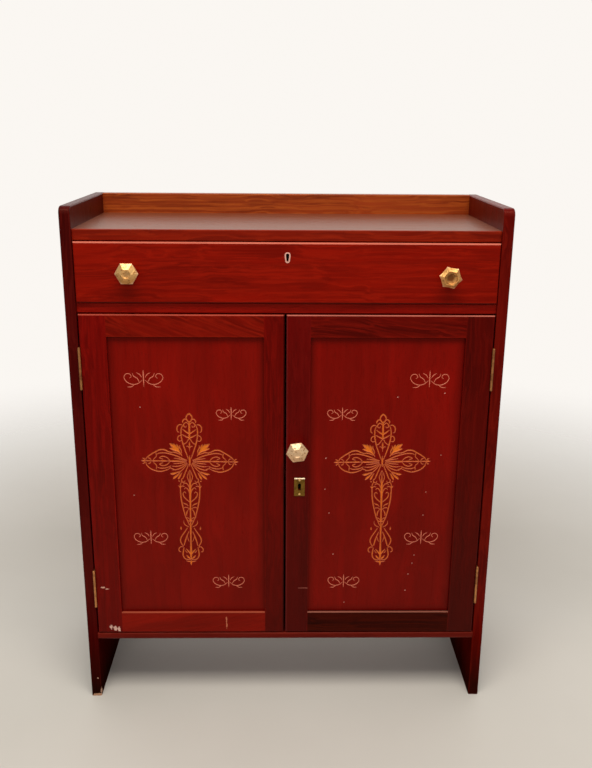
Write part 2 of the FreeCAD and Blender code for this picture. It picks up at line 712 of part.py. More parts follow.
def make_door_lock():
    """Lock let into the back of the right door, its sliding bolt, the front plate and the strike plate."""
    stile = "right_door_meeting_stile"
    edge = meeting_edges[1]
    left_edge = -meeting_edges[-1]
    case_ys = (door_back_y - lock_case_thickness, door_back_y)
    middle_y = sum(case_ys) / 2
    case_far_x = edge + right_meeting_stile_width - groove_depth - door_lock_wood
    case_zs = (door_lock_z - door_lock_height / 2, door_lock_z + door_lock_height / 2)
    case = block((edge, case_far_x), case_ys, case_zs)
    cut_from(stile, case)
    bolt_xs = (edge + lock_bolt_recess, door_key_x - door_key_upper_radius - lock_key_clearance)
    bolt_ys = (middle_y - lock_bolt_thickness / 2, middle_y + lock_bolt_thickness / 2)
    bolt_zs = (door_lock_z - door_bolt_width / 2, door_lock_z + door_bolt_width / 2)
    nodes["door_lock_bolt"] = block(bolt_xs, bolt_ys, bolt_zs)
    cavity_ys = (min(bolt_ys) - lock_slide_clearance, max(bolt_ys) + lock_slide_clearance)
    cavity_zs = (min(bolt_zs) - lock_slide_clearance, max(bolt_zs) + lock_slide_clearance)
    cavity = block((edge - overrun, max(bolt_xs)), cavity_ys, cavity_zs)
    key_z = door_lock_z + lock_plate_key_drop / 2
    key_ys = (front_y - lock_plate_thickness - overrun, max(case_ys) - lock_wall)
    key = keyhole(
        door_key_x, key_z, lock_plate_key_drop, key_ys, door_key_upper_radius, door_key_lower_radius
    )
    nodes["door_lock_case"] = case.cut([cavity, key])
    cut_from(stile, key)
    for x in (edge + lock_screw_inset, case_far_x - lock_screw_inset):
        for z in (min(case_zs) + lock_screw_inset, max(case_zs) - lock_screw_inset):
            start = Vector(x, door_back_y, z)
            holders = ("door_lock_case", stile)
            wood_screw("right_door_screws", start, forward, lock_case_thickness + lock_screw_bite, holders)

    plate_xs = (door_key_x - lock_plate_width / 2, door_key_x + lock_plate_width / 2)
    plate_front_y = front_y - lock_plate_thickness
    plate_zs = (door_lock_z - lock_plate_height / 2, door_lock_z + lock_plate_height / 2)
    plate = block(plate_xs, (plate_front_y, front_y), plate_zs)
    plate = rounded(plate, lock_plate_edge_radius, lambda box: in_plane_y(box, plate_front_y))
    nodes["door_lock_plate"] = plate.cut(key)
    head = domed_head(plate_pin_head_radius, plate_pin_head_height)
    shank = Part.makeCylinder(plate_pin_radius, plate_pin_length, Vector(0, 0, 0), Vector(0, 0, -1))
    pin = head.fuse(shank).removeSplitter()
    for z in (min(plate_zs) + plate_pin_inset, max(plate_zs) - plate_pin_inset):
        start = Vector(door_key_x, plate_front_y, z)
        fasten("door_lock_plate_pins", along(pin, start, forward), ("door_lock_plate", stile))

    strike_zs = (door_lock_z - strike_plate_height / 2, door_lock_z + strike_plate_height / 2)
    strike = block((left_edge, left_edge - strike_plate_thickness), case_ys, strike_zs)
    mortise_ys = (min(bolt_ys) - bolt_mortise_clearance, max(bolt_ys) + bolt_mortise_clearance)
    mortise_zs = (min(bolt_zs) - bolt_mortise_clearance, max(bolt_zs) + bolt_mortise_clearance)
    mortise = block((left_edge + overrun, left_edge - bolt_mortise_depth), mortise_ys, mortise_zs)
    nodes["strike_plate"] = strike.cut(mortise)
    cut_from("left_door_meeting_stile", strike, mortise)
    for z in (min(strike_zs) + lock_screw_inset, max(strike_zs) - lock_screw_inset):
        start = Vector(left_edge, middle_y, z)
        holders = ("strike_plate", "left_door_meeting_stile")
        screw_length = strike_plate_thickness + screw_bite
        wood_screw("left_door_screws", start, Vector(-1, 0, 0), screw_length, holders)


def make_slide_bolt():
    """Small bolt on the back of the left door's meeting stile, which rises into the divider."""
    stile = "left_door_meeting_stile"
    x = -(meeting_edges[-1] + left_meeting_stile_width / 2)
    plate_high = door_high - slide_bolt_inset
    plate_low = plate_high - slide_bolt_plate_length
    plate_back_y = door_back_y + slide_bolt_plate_thickness
    plate_xs = (x - slide_bolt_plate_width / 2, x + slide_bolt_plate_width / 2)
    plate = block(plate_xs, (door_back_y, plate_back_y), (plate_low, plate_high))
    bore_radius = slide_bolt_radius + slide_bolt_clearance
    guide_half = bore_radius + slide_bolt_guide_wall
    rod_y = plate_back_y + guide_half
    guide_xs = (x - guide_half, x + guide_half)
    guide_ys = (plate_back_y, rod_y + guide_half)
    inset = 2 * lock_screw_inset
    guide_lows = (plate_low + inset, plate_high - inset - slide_bolt_guide_length)
    guides = [block(guide_xs, guide_ys, (low, low + slide_bolt_guide_length)) for low in guide_lows]
    bore = Part.makeCylinder(bore_radius, slide_bolt_plate_length, Vector(x, rod_y, plate_low))
    nodes["slide_bolt_case"] = plate.fuse(guides).removeSplitter().cut(bore)
    for z in (plate_low + lock_screw_inset, plate_high - lock_screw_inset):
        start = Vector(x, plate_back_y, z)
        holders = ("slide_bolt_case", stile, "left_door_top_rail")
        screw_length = slide_bolt_plate_thickness + screw_bite
        wood_screw("left_door_screws", start, forward, screw_length, holders)

    rod_high = door_high - door_gap
    rod_foot = Vector(x, rod_y, rod_high - slide_bolt_length)
    rod = Part.makeCylinder(slide_bolt_radius, slide_bolt_length, rod_foot)
    stud_z = min(guide_lows) + slide_bolt_guide_length + 2 * slide_bolt_stud_radius
    stud_length = guide_half + slide_bolt_stud_length
    stud = Part.makeCylinder(slide_bolt_stud_radius, stud_length, Vector(x, rod_y, stud_z), Vector(0, 1, 0))
    nodes["slide_bolt"] = rod.fuse(stud).removeSplitter()
    socket = Part.makeCylinder(
        slide_bolt_radius + slide_bolt_socket_clearance,
        slide_bolt_socket_depth + overrun,
        Vector(x, rod_y, divider_low - overrun),
    )
    cut_from("drawer_divider", socket)


def main():
    """Builds every piece, makes the cuts that were noted and writes one file per node."""
    make_carcass()
    make_stops()
    make_panel_pins()
    for hand in (-1, 1):
        make_door(hand)
    for hand, height in hinge_lows:
        make_hinge(hand, height)
    make_drawer()
    make_drawer_lock()
    make_door_lock()
    make_slide_bolt()
    knob_x = meeting_edges[1] + door_knob_inset_share * right_meeting_stile_width
    knob_z = door_lock_z + lock_plate_height / 2 + knob_plate_gap + knob_radius
    stile = "right_door_meeting_stile"
    make_knob("door_knob", knob_x, knob_z, door_knob_turn, stile, door_back_y, "door_knob_screw")
    for group, solids in groups.items():
        nodes[group] = Part.makeCompound(solids) if len(solids) > 1 else solids[0]
    os.makedirs("parts", exist_ok=True)
    for node, shape in nodes.items():
        if node in cuts:
            shape = shape.cut(cuts[node])
        shape.exportStep("parts/" + node + ".step")


main()
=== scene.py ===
import math

import bmesh
import bpy
import numpy as np
from mathutils import Matrix, Vector, geometry


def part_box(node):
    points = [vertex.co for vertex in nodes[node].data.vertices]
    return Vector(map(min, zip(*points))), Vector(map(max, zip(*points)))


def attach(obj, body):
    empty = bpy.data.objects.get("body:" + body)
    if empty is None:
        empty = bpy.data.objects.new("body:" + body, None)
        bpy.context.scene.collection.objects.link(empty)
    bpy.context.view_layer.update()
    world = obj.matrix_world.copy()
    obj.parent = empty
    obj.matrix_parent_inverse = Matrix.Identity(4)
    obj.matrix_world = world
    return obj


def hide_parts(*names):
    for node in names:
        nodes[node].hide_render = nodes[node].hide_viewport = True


# Looks of the red-stained cupboard: varnished boards, routed door panels, cast knobs, and their light.
# Metres, in the frame of the solids: +Z up, +X to the right of the front, +Y to the back, the floor at Z 0.

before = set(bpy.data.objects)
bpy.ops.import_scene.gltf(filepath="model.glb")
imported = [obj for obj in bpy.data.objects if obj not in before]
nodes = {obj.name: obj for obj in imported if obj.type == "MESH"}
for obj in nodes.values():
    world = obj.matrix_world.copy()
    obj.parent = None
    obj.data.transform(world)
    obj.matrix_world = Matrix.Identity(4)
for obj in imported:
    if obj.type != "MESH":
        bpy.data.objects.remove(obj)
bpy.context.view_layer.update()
mm = 0.001


def linear(colour):
    """Linear RGBA of an sRGB hex colour."""
    channels = np.array([int(colour[start : start + 2], 16) for start in (1, 3, 5)]) / 255
    curve = np.where(channels <= 0.04045, channels / 12.92, ((channels + 0.055) / 1.055) ** 2.4)
    return (*(float(channel) for channel in curve), 1.0)


def tinted(colour, *gains):
    """Linear RGBA of an sRGB hex colour with each channel times its gain."""
    return (*(channel * gain for channel, gain in zip(linear(colour), gains)), 1.0)


def put(tree, kind, sockets=None, **settings):
    """Adds one node with its settings; each socket gets a value, or a link from another node's output."""
    node = tree.nodes.new("ShaderNode" + kind)
    for name, value in settings.items():
        setattr(node, name, value)
    for socket, value in (sockets or {}).items():
        if isinstance(value, bpy.types.NodeSocket):
            tree.links.new(value, node.inputs[socket])
        else:
            node.inputs[socket].default_value = value
    return node


def new_material(name, **constants):
    """Material with its tree and its principled shader, whose constant sockets are set by name."""
    material = bpy.data.materials.new(name)
    material.use_nodes = True
    shader = material.node_tree.nodes["Principled BSDF"]
    for socket, value in constants.items():
        shader.inputs[socket.replace("_", " ")].default_value = value
    return material, material.node_tree, shader


# Places of the A and B colours and of the colour result on a Mix node set to RGBA
mix_a, mix_b, mix_result = 6, 7, 2
axes = {"x": 0, "y": 1, "z": 2}


# Patterns of stained wood: size across and along the grain in millimetres, detail and twist. The slow drift
# comes first, and the figure, streaks and pores wave with it. Streaks and pores are drawn about three times
# too coarse, because the real ones are finer than a pixel.
grain_patterns = ((80, 160, 2, 0.4), (30, 300, 3, 1.2), (4, 170, 3, 0.6), (1.9, 24, 1, 0))
grain_wave = 26
# Sizes of the wear and painted light in millimetres: the waver of a rubbed edge with its painted highlight
# and its depth, the torn rim of a bare spot, how unevenly the painted shade climbs a foot, and how far a line
# on an arris reaches in from the front
edge_waver = 14
edge_band_depth = 3.2
torn_rim = 3.5
shade_climb = 90
arris_reach = 4


def stained_board(name, box, grain, tone, seed, look, bands=(), marks=()):
    """Red-stained, brush-varnished mahogany: long soft figure, fine streaks, short dark pores, rubbed edges.

    Varnish over stain gives the eye a deep even red with a soft shine, paler where the edges are rubbed, with
    a painted highlight along the edges.
    look holds the strength of the figure and, where they differ, its lean in degrees, its fine streaks, the
    edge wear with its painted highlight, the shine and its tint, the faded colour of a top behind its dull
    front edge, the painted shade along a sunk panel's border, how far a door darkens low down and how far the
    foot is darkened with painted shade.
    bands are lines along an arris, painted highlights on rounded edges and painted shade along gaps, partly
    rubbed
    wear: axis, place, half width, colour and strength.
    marks are bare spots: x, z, two half sizes and colour. Places and sizes are in millimetres.
    """
    figure = look["figure"]
    material, tree, shader = new_material(
        "stained mahogany " + name,
        Specular_IOR_Level=look.get("shine", 0.2),
        Specular_Tint=linear(look.get("tint", "#ffa48c")),
    )
    where = put(tree, "TexCoord").outputs["Object"]
    centre = (box[0] + box[1]) / 2
    half = (box[1] - box[0]) / 2
    shift = (0.37 * seed, 0.61 * seed, 0.23 * seed)
    turn = (0, math.radians(look.get("lean", 0)), 0)

    patterns = []
    for across, along, detail, twist in grain_patterns:
        size = [across * mm] * 3
        size[axes[grain]] = along * mm
        place = {"Vector": where, "Location": shift, "Rotation": turn, "Scale": size}
        at = put(tree, "Mapping", place, vector_type="TEXTURE").outputs[0]
        if patterns:
            wave = {0: patterns[0], 1: [grain_wave / across] * 3, 2: at}
            at = put(tree, "VectorMath", wave, operation="MULTIPLY_ADD").outputs[0]
        noise = {"Vector": at, "Scale": 1.0, "Detail": detail, "Distortion": twist}
        patterns.append(put(tree, "TexNoise", noise).outputs[0])
    drift, broad, streak, pore = patterns
    coarse = put(tree, "TexNoise", {"Vector": where, "Scale": 1 / (edge_waver * mm), "Detail": 3.0}).outputs[0]
    grit = put(tree, "TexNoise", {"Vector": where, "Scale": 1 / (torn_rim * mm), "Detail": 2.0}).outputs[0]

    body = put(tree, "MapRange", {"Value": broad, "From Min": 0.34, "From Max": 0.62})
    deep = tinted(tone, 1 - 0.36 * figure, 1 - 0.42 * figure, 1 - 0.42 * figure)
    colour = put(tree, "Mix", {0: body.outputs[0], mix_a: deep, mix_b: linear(tone)}, data_type="RGBA")
    colour = colour.outputs[mix_result]
    value = {"Value": drift, "From Min": 0.3, "From Max": 0.7, "To Min": 0.86, "To Max": 1.14}
    value = put(tree, "MapRange", value)
    colour = put(tree, "HueSaturation", {"Value": value.outputs[0], "Color": colour}).outputs[0]

    # Distance to the nearest edge of the board: the middle one of the three distances to its faces.
    offset = put(tree, "VectorMath", {0: where, 1: centre}, operation="SUBTRACT")
    reach = put(tree, "VectorMath", {0: offset.outputs[0]}, operation="ABSOLUTE")
    inside = put(tree, "VectorMath", {0: half, 1: reach.outputs[0]}, operation="SUBTRACT")
    along_x, along_y, along_z = put(tree, "SeparateXYZ", {0: inside.outputs[0]}).outputs
    nearer = put(tree, "Math", {0: along_x, 1: along_y}, operation="MINIMUM")
    farther = put(tree, "Math", {0: along_x, 1: along_y}, operation="MAXIMUM")
    second = put(tree, "Math", {0: farther.outputs[0], 1: along_z}, operation="MINIMUM")
    edge = put(tree, "Math", {0: nearer.outputs[0], 1: second.outputs[0]}, operation="MAXIMUM")
    ragged = put(tree, "Math", {0: coarse, 1: -edge_band_depth * mm, 2: edge.outputs[0]}, operation="MULTIPLY_ADD")
    border = put(tree, "Math", {0: along_x, 1: along_z}, operation="MINIMUM")
    places = put(tree, "SeparateXYZ", {0: where}).outputs
    ragged_height = put(tree, "Math", {0: drift, 1: shade_climb * mm, 2: places["Z"]}, operation="MULTIPLY_ADD")

    # Layers over the body: each a mask's value, the two values it runs between, its strength and its colour
    layers = [
        (streak, 0.45, 0.66, 0.75 * figure * look.get("fine", 1), tinted(tone, 1.3, 1.75, 1.5)),
        (pore, 0.58, 0.72, 0.3, tinted(tone, 0.45, 0.4, 0.4)),
        # Painted shade along the sunk panel's border, next to the frame.
        (border.outputs[0], 20 * mm, 6 * mm, look.get("border_shade", 0), tinted(tone, 0.35, 0.3, 0.3)),
        (ragged_height.outputs[0], 560 * mm, 190 * mm, look.get("low", 0), tinted(tone, 0.3, 0.3, 0.3)),
        # Painted shade: the foot darkens towards the floor, where shade falls under the cupboard.
        (ragged_height.outputs[0], 180 * mm, 60 * mm, look.get("soil_and_shade", 0), linear("#150a05")),
        # Pale rubbed edges, partly a painted highlight where the rounded edges catch the light.
        (ragged.outputs[0], 0.4 * mm, -1.4 * mm, look.get("wear_and_highlight", 0.3), tinted(tone, 1.9, 4.5, 4.0)),
    ]
    if "faded" in look:
        layers.insert(2, (places["Y"], box[0][1] + 2 * mm, box[0][1] + 6 * mm, 0.7, linear(look["faded"])))
    arris = put(tree, "Math", {0: places["Y"], 1: box[0][1], 2: arris_reach * mm}, operation="COMPARE")
    for axis, place, half_width, shade, strength in bands:
        span = {0: places[axis], 1: place * mm, 2: half_width * mm}
        away = put(tree, "Math", span, operation="COMPARE")
        away = put(tree, "Math", {0: away.outputs[0], 1: arris.outputs[0]}, operation="MULTIPLY")
        away = put(tree, "Math", {0: away.outputs[0], 1: drift, 2: away.outputs[0]}, operation="MULTIPLY_ADD")
        layers.append((away.outputs[0], 0.0, 1.5, strength, linear(shade)))
    for x, z, wide, high, shade in marks:
        place = (x * mm, box[0][1], z * mm)
        size = (wide * mm, 8 * mm, high * mm)
        spot = {"Vector": where, "Location": place, "Scale": size}
        spot = put(tree, "Mapping", spot, vector_type="TEXTURE")
        span = put(tree, "VectorMath", {0: spot.outputs[0]}, operation="LENGTH").outputs["Value"]
        torn = put(tree, "Math", {0: grit, 1: 1.8, 2: span}, operation="MULTIPLY_ADD")
        layers.append((torn.outputs[0], 1.9, 1.6, 0.9, linear(shade)))
    for mask, start, end, strength, shade in layers:
        share = put(tree, "MapRange", {"Value": mask, "From Min": start, "From Max": end, "To Max": strength})
        mixed = {0: share.outputs[0], mix_a: colour, mix_b: shade}
        colour = put(tree, "Mix", mixed, data_type="RGBA").outputs[mix_result]

    tree.links.new(colour, shader.inputs["Base Color"])
    if "faded" in look:
        inward = {"Value": places["Y"], "From Min": box[0][1] + 1 * mm, "From Max": box[0][1] + 5 * mm}
        inward = put(tree, "MapRange", {**inward, "To Min": 0.12, "To Max": look["shine"]})
        tree.links.new(inward.outputs[0], shader.inputs["Specular IOR Level"])
    # Less shine low on the foot as well, so the painted shade there stays dark in reflections.
    if "soil_and_shade" in look:
        matt = {"Value": ragged_height.outputs[0], "From Min": 160 * mm, "From Max": 280 * mm}
        matt = put(tree, "MapRange", {**matt, "To Max": look["shine"]})
        tree.links.new(matt.outputs[0], shader.inputs["Specular IOR Level"])
    gloss = {"Value": streak, "From Min": 0.3, "From Max": 0.7, "To Min": 0.27, "To Max": 0.4}
    gloss = put(tree, "MapRange", gloss)
    tree.links.new(gloss.outputs[0], shader.inputs["Roughness"])
    relief = put(tree, "Math", {0: pore, 1: 0.6, 2: streak}, operation="MULTIPLY_ADD")
    bump = put(tree, "Bump", {"Strength": 0.1, "Distance": 0.4 * mm, "Height": relief.outputs[0]})
    tree.links.new(bump.outputs[0], shader.inputs["Normal"])
    return material


def bare_wood(name, grain, tone, seed, across, along, rough):
    """Planed bare softwood or sanded veneer: pale, matt, with darker growth lines along the grain."""
    material, tree, shader = new_material(name, Specular_IOR_Level=0.3, Roughness=rough)
    where = put(tree, "TexCoord").outputs["Object"]
    size = [across * mm] * 3
    size[axes[grain]] = along * mm
    shift = (0.41 * seed, 0.29 * seed, 0.53 * seed)
    place = {"Vector": where, "Location": shift, "Scale": size}
    at = put(tree, "Mapping", place, vector_type="TEXTURE").outputs[0]
    lines = put(tree, "TexNoise", {"Vector": at, "Scale": 1.0, "Detail": 4.0, "Distortion": 1.1}).outputs[0]
    late = put(tree, "MapRange", {"Value": lines, "From Min": 0.42, "From Max": 0.68})
    patch = put(tree, "TexNoise", {"Vector": where, "Scale": 1 / (90 * mm), "Detail": 2.0}).outputs[0]
    grey = put(tree, "MapRange", {"Value": patch, "From Min": 0.35, "From Max": 0.7, "To Max": 0.35})
    body = put(
        tree,
        "Mix",
        {0: late.outputs[0], mix_a: linear(tone), mix_b: tinted(tone, 0.62, 0.5, 0.4)},
        data_type="RGBA",
    )
    body = put(
        tree,
        "Mix",
        {0: grey.outputs[0], mix_a: body.outputs[mix_result], mix_b: tinted(tone, 0.7, 0.66, 0.6)},
        data_type="RGBA",
    )
    tree.links.new(body.outputs[mix_result], shader.inputs["Base Color"])
    bump = put(tree, "Bump", {"Strength": 0.15, "Distance": 0.3 * mm, "Height": lines})
    tree.links.new(bump.outputs[0], shader.inputs["Normal"])
    return material


def metal(name, tone, tarnish, shine, mottle, share):
    """Cast or rolled metal gone dull in patches: mottled colour, uneven shine and small dents."""
    material, tree, shader = new_material(name, Metallic=0.85)
    where = put(tree, "TexCoord").outputs["Object"]
    patch = put(tree, "TexNoise", {"Vector": where, "Scale": 1 / (mottle * mm), "Detail": 3.0}).outputs[0]
    dull = put(tree, "MapRange", {"Value": patch, "From Min": 0.45, "From Max": 0.7, "To Max": share})
    body = put(
        tree, "Mix", {0: dull.outputs[0], mix_a: linear(tone), mix_b: linear(tarnish)}, data_type="RGBA"
    )
    tree.links.new(body.outputs[mix_result], shader.inputs["Base Color"])
    gloss = {"Value": patch, "From Min": 0.3, "From Max": 0.7, "To Min": shine, "To Max": shine + 0.2}
    gloss = put(tree, "MapRange", gloss)
    tree.links.new(gloss.outputs[0], shader.inputs["Roughness"])
    dents = put(tree, "TexNoise", {"Vector": where, "Scale": 1 / (3 * mm), "Detail": 2.0}).outputs[0]
    bump = put(tree, "Bump", {"Strength": 0.12, "Distance": 0.5 * mm, "Height": dents})
    tree.links.new(bump.outputs[0], shader.inputs["Normal"])
    return material


# Stained boards: grain, stain colour and look
stained = {
    # The sides' feet are darkened with painted shade near the floor.
    "left_side": ("z", "#480605", {"figure": 0.9, "shine": 0.12, "soil_and_shade": 0.85}),
    "right_side": ("z", "#600904", {"figure": 0.9, "shine": 0.12, "soil_and_shade": 0.85}),
    "top_board": ("x", "#7a1302", {"figure": 1.2, "shine": 0.6, "tint": "#fff0d8", "faded": "#744a34"}),
    # The divider's stain is paler than the wood, a painted light that lifts it out of the shade under the
    # drawer.
    "gallery_rail": ("x", "#8c3612", {"figure": 1.3, "shine": 0.3}),
    "drawer_divider": ("x", "#880d05", {"figure": 0.8}),
    "bottom_board": ("x", "#5c0c06", {"figure": 0.8, "wear_and_highlight": 0.5}),
    "shelf": ("x", "#6a1610", {"figure": 0.8}),
    "drawer_front": ("x", "#820d02", {"figure": 0.85}),
    "left_door_hinge_stile": ("z", "#6e0402", {"figure": 1.0, "low": 0.4}),
    "left_door_meeting_stile": ("z", "#650301", {"figure": 1.0, "low": 0.65}),
    "left_door_top_rail": ("x", "#740c03", {"figure": 1.2, "lean": 20}),
    "left_door_bottom_rail": ("x", "#7c0d03", {"figure": 0.8, "lean": -12, "fine": 0.5}),
    "right_door_hinge_stile": ("z", "#530301", {"figure": 1.0, "low": 0.7}),
    "right_door_meeting_stile": ("z", "#5a0303", {"figure": 0.8, "low": 0.65}),
    "right_door_top_rail": ("x", "#620602", {"figure": 1.2, "lean": 8}),
    "right_door_bottom_rail": ("x", "#340400", {"figure": 1.6, "shine": 0.12}),
}
# Pale lines on the doors' rounded top edges: painted highlights, partly rubbed wear.
left_top_highlight = ("Z", 724.1, 1.8, "#b0503e", 0.8)
right_top_highlight = ("Z", 724.1, 1.8, "#c07060", 0.8)
bands = {
    # Drawer front: a painted highlight on its rounded top edge, partly rubbed wear, and painted shade along
    # the gap at its bottom.
    "drawer_front": [("Z", 840.6, 1.9, "#c8705c", 0.8), ("Z", 743, 1.6, "#300000", 0.75)],
    "left_door_hinge_stile": [left_top_highlight],
    # Painted shade along the doors' meeting gap.
    "left_door_meeting_stile": [left_top_highlight, ("X", -5, 1.4, "#2a0000", 0.8)],
    "left_door_top_rail": [left_top_highlight],
    # Pale line on the left bottom rail's top face: painted light from above, partly rubbed wear.
    "left_door_bottom_rail": [("Z", 176, 1.8, "#b05840", 0.85)],
    "right_door_hinge_stile": [right_top_highlight],
    # Painted highlight on the right door's meeting edge.
    "right_door_meeting_stile": [right_top_highlight, ("X", -0.5, 1.2, "#702626", 0.5)],
    "right_door_top_rail": [right_top_highlight],
    # Pale line on the right bottom rail's top face: painted light from above, partly rubbed wear.
    "right_door_bottom_rail": [("Z", 176, 1.8, "#a06454", 0.85)],
}
marks = {
    "left_door_hinge_stile": [
        (-327, 226, 4.5, 1.6, "#d8a590"),
        (-320, 223, 4.5, 1.4, "#d8a590"),
        (-317, 146, 3, 5, "#d8b0a0"),
        (-309, 143, 4, 6, "#d8b0a0"),
        (-303, 141, 3, 5, "#d8b0a0"),
    ],
    "left_door_bottom_rail": [(-108, 160, 1.4, 8, "#b8684c"), (-107.5, 149, 1.4, 7, "#b8684c")],
    "right_door_meeting_stile": [(30, 224.5, 11, 1.0, "#8a4a40")],
    "left_side": [(-348, 2, 11, 3, "#b98c70"), (-341, 9, 3, 8, "#c9a088"), (-347, 38, 1.8, 1.8, "#c9a088")],
}
for seed, (node, (grain, tone, look)) in enumerate(stained.items(), 1):
    lines = bands.get(node, ())
    spots = marks.get(node, ())
    board = stained_board(node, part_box(node), grain, tone, seed, look, lines, spots)
    nodes[node].data.materials.clear()
    nodes[node].data.materials.append(board)

finishes = {
    "pine x": bare_wood("planed pine across", "x", "#c79a62", 1, 5, 300, 0.6),
    "pine y": bare_wood("planed pine front to back", "y", "#c99c66", 2, 5, 240, 0.6),
    "plywood": bare_wood("sanded plywood", "z", "#c08f58", 3, 16, 420, 0.55),
    "plywood x": bare_wood("sanded plywood across", "x", "#c49460", 4, 16, 420, 0.55),
    "cast brass": metal("cast brass", "#f6cd88", "#c08438", 0.26, 7, 0.8),
    "hinge brass": metal("rolled brass, tarnished", "#c48650", "#7c4828", 0.32, 9, 0.9),
    "plate brass": metal("stamped brass, dull", "#846020", "#46300c", 0.4, 6, 0.9),
    "liner brass": metal("stamped brass, rosy", "#ffc4b0", "#d89484", 0.35, 5, 0.5),
    # Pale brass for the lock plate's lip, partly a painted highlight.
    "highlight brass": metal("polished brass with painted highlight", "#ffe9c8", "#f0c890", 0.3, 5, 0.4),
    "steel": metal("dull steel", "#9a9690", "#5c554e", 0.35, 8, 0.7),
    "black steel": metal("blackened steel", "#181614", "#0a0908", 0.5, 8, 0.7),
}
finish_nodes = {
    "pine x": ["drawer_back", "drawer_stops", "door_stops"],
    "pine y": [
        "drawer_left_side",
        "drawer_right_side",
        "left_drawer_runner",
        "right_drawer_runner",
        "left_shelf_cleat",
        "right_shelf_cleat",
    ],
    "plywood": ["back_panel"],
    "plywood x": ["drawer_bottom"],
    "cast brass": ["door_lock_plate_pins"],
    "hinge brass": [node for node in nodes if node.endswith("_leaf")]
    + [
        "hinge_pins",
        "hinge_side_screws",
        "left_door_screws",
        "right_door_screws",
        "slide_bolt_case",
        "slide_bolt",
    ],
    "plate brass": ["door_lock_plate", "strike_plate", "door_lock_bolt", "drawer_lock_bolt"],
    "liner brass": ["drawer_keyhole_liner"],
    "steel": [
        "back_panel_pins",
        "carcass_screws",
        "drawer_knob_screws",
        "drawer_lock_screws",
        "door_knob_screw",
    ],
    "black steel": ["drawer_lock_case", "door_lock_case"],
}
for finish, members in finish_nodes.items():
    for node in members:
        nodes[node].data.materials.clear()
        nodes[node].data.materials.append(finishes[finish])


def smooth_path(points, steps=5):
    """Catmull-Rom curve through given points: each span is a cubic of its ends and their neighbours."""
    knots = np.asarray(points, float)
    knots = np.vstack((2 * knots[0] - knots[1], knots, 2 * knots[-1] - knots[-2]))
    part = np.linspace(0, 1, steps, endpoint=False)[None, :, None]
    before, start, end, after = (knots[first : len(knots) - 3 + first, None] for first in range(4))
    curve = start + 0.5 * part * (
        end - before
        + part * (2 * before - 5 * start + 4 * end - after + part * (3 * (start - end) + after - before))
    )
    return np.vstack((curve.reshape(-1, knots.shape[1]), knots[-2]))


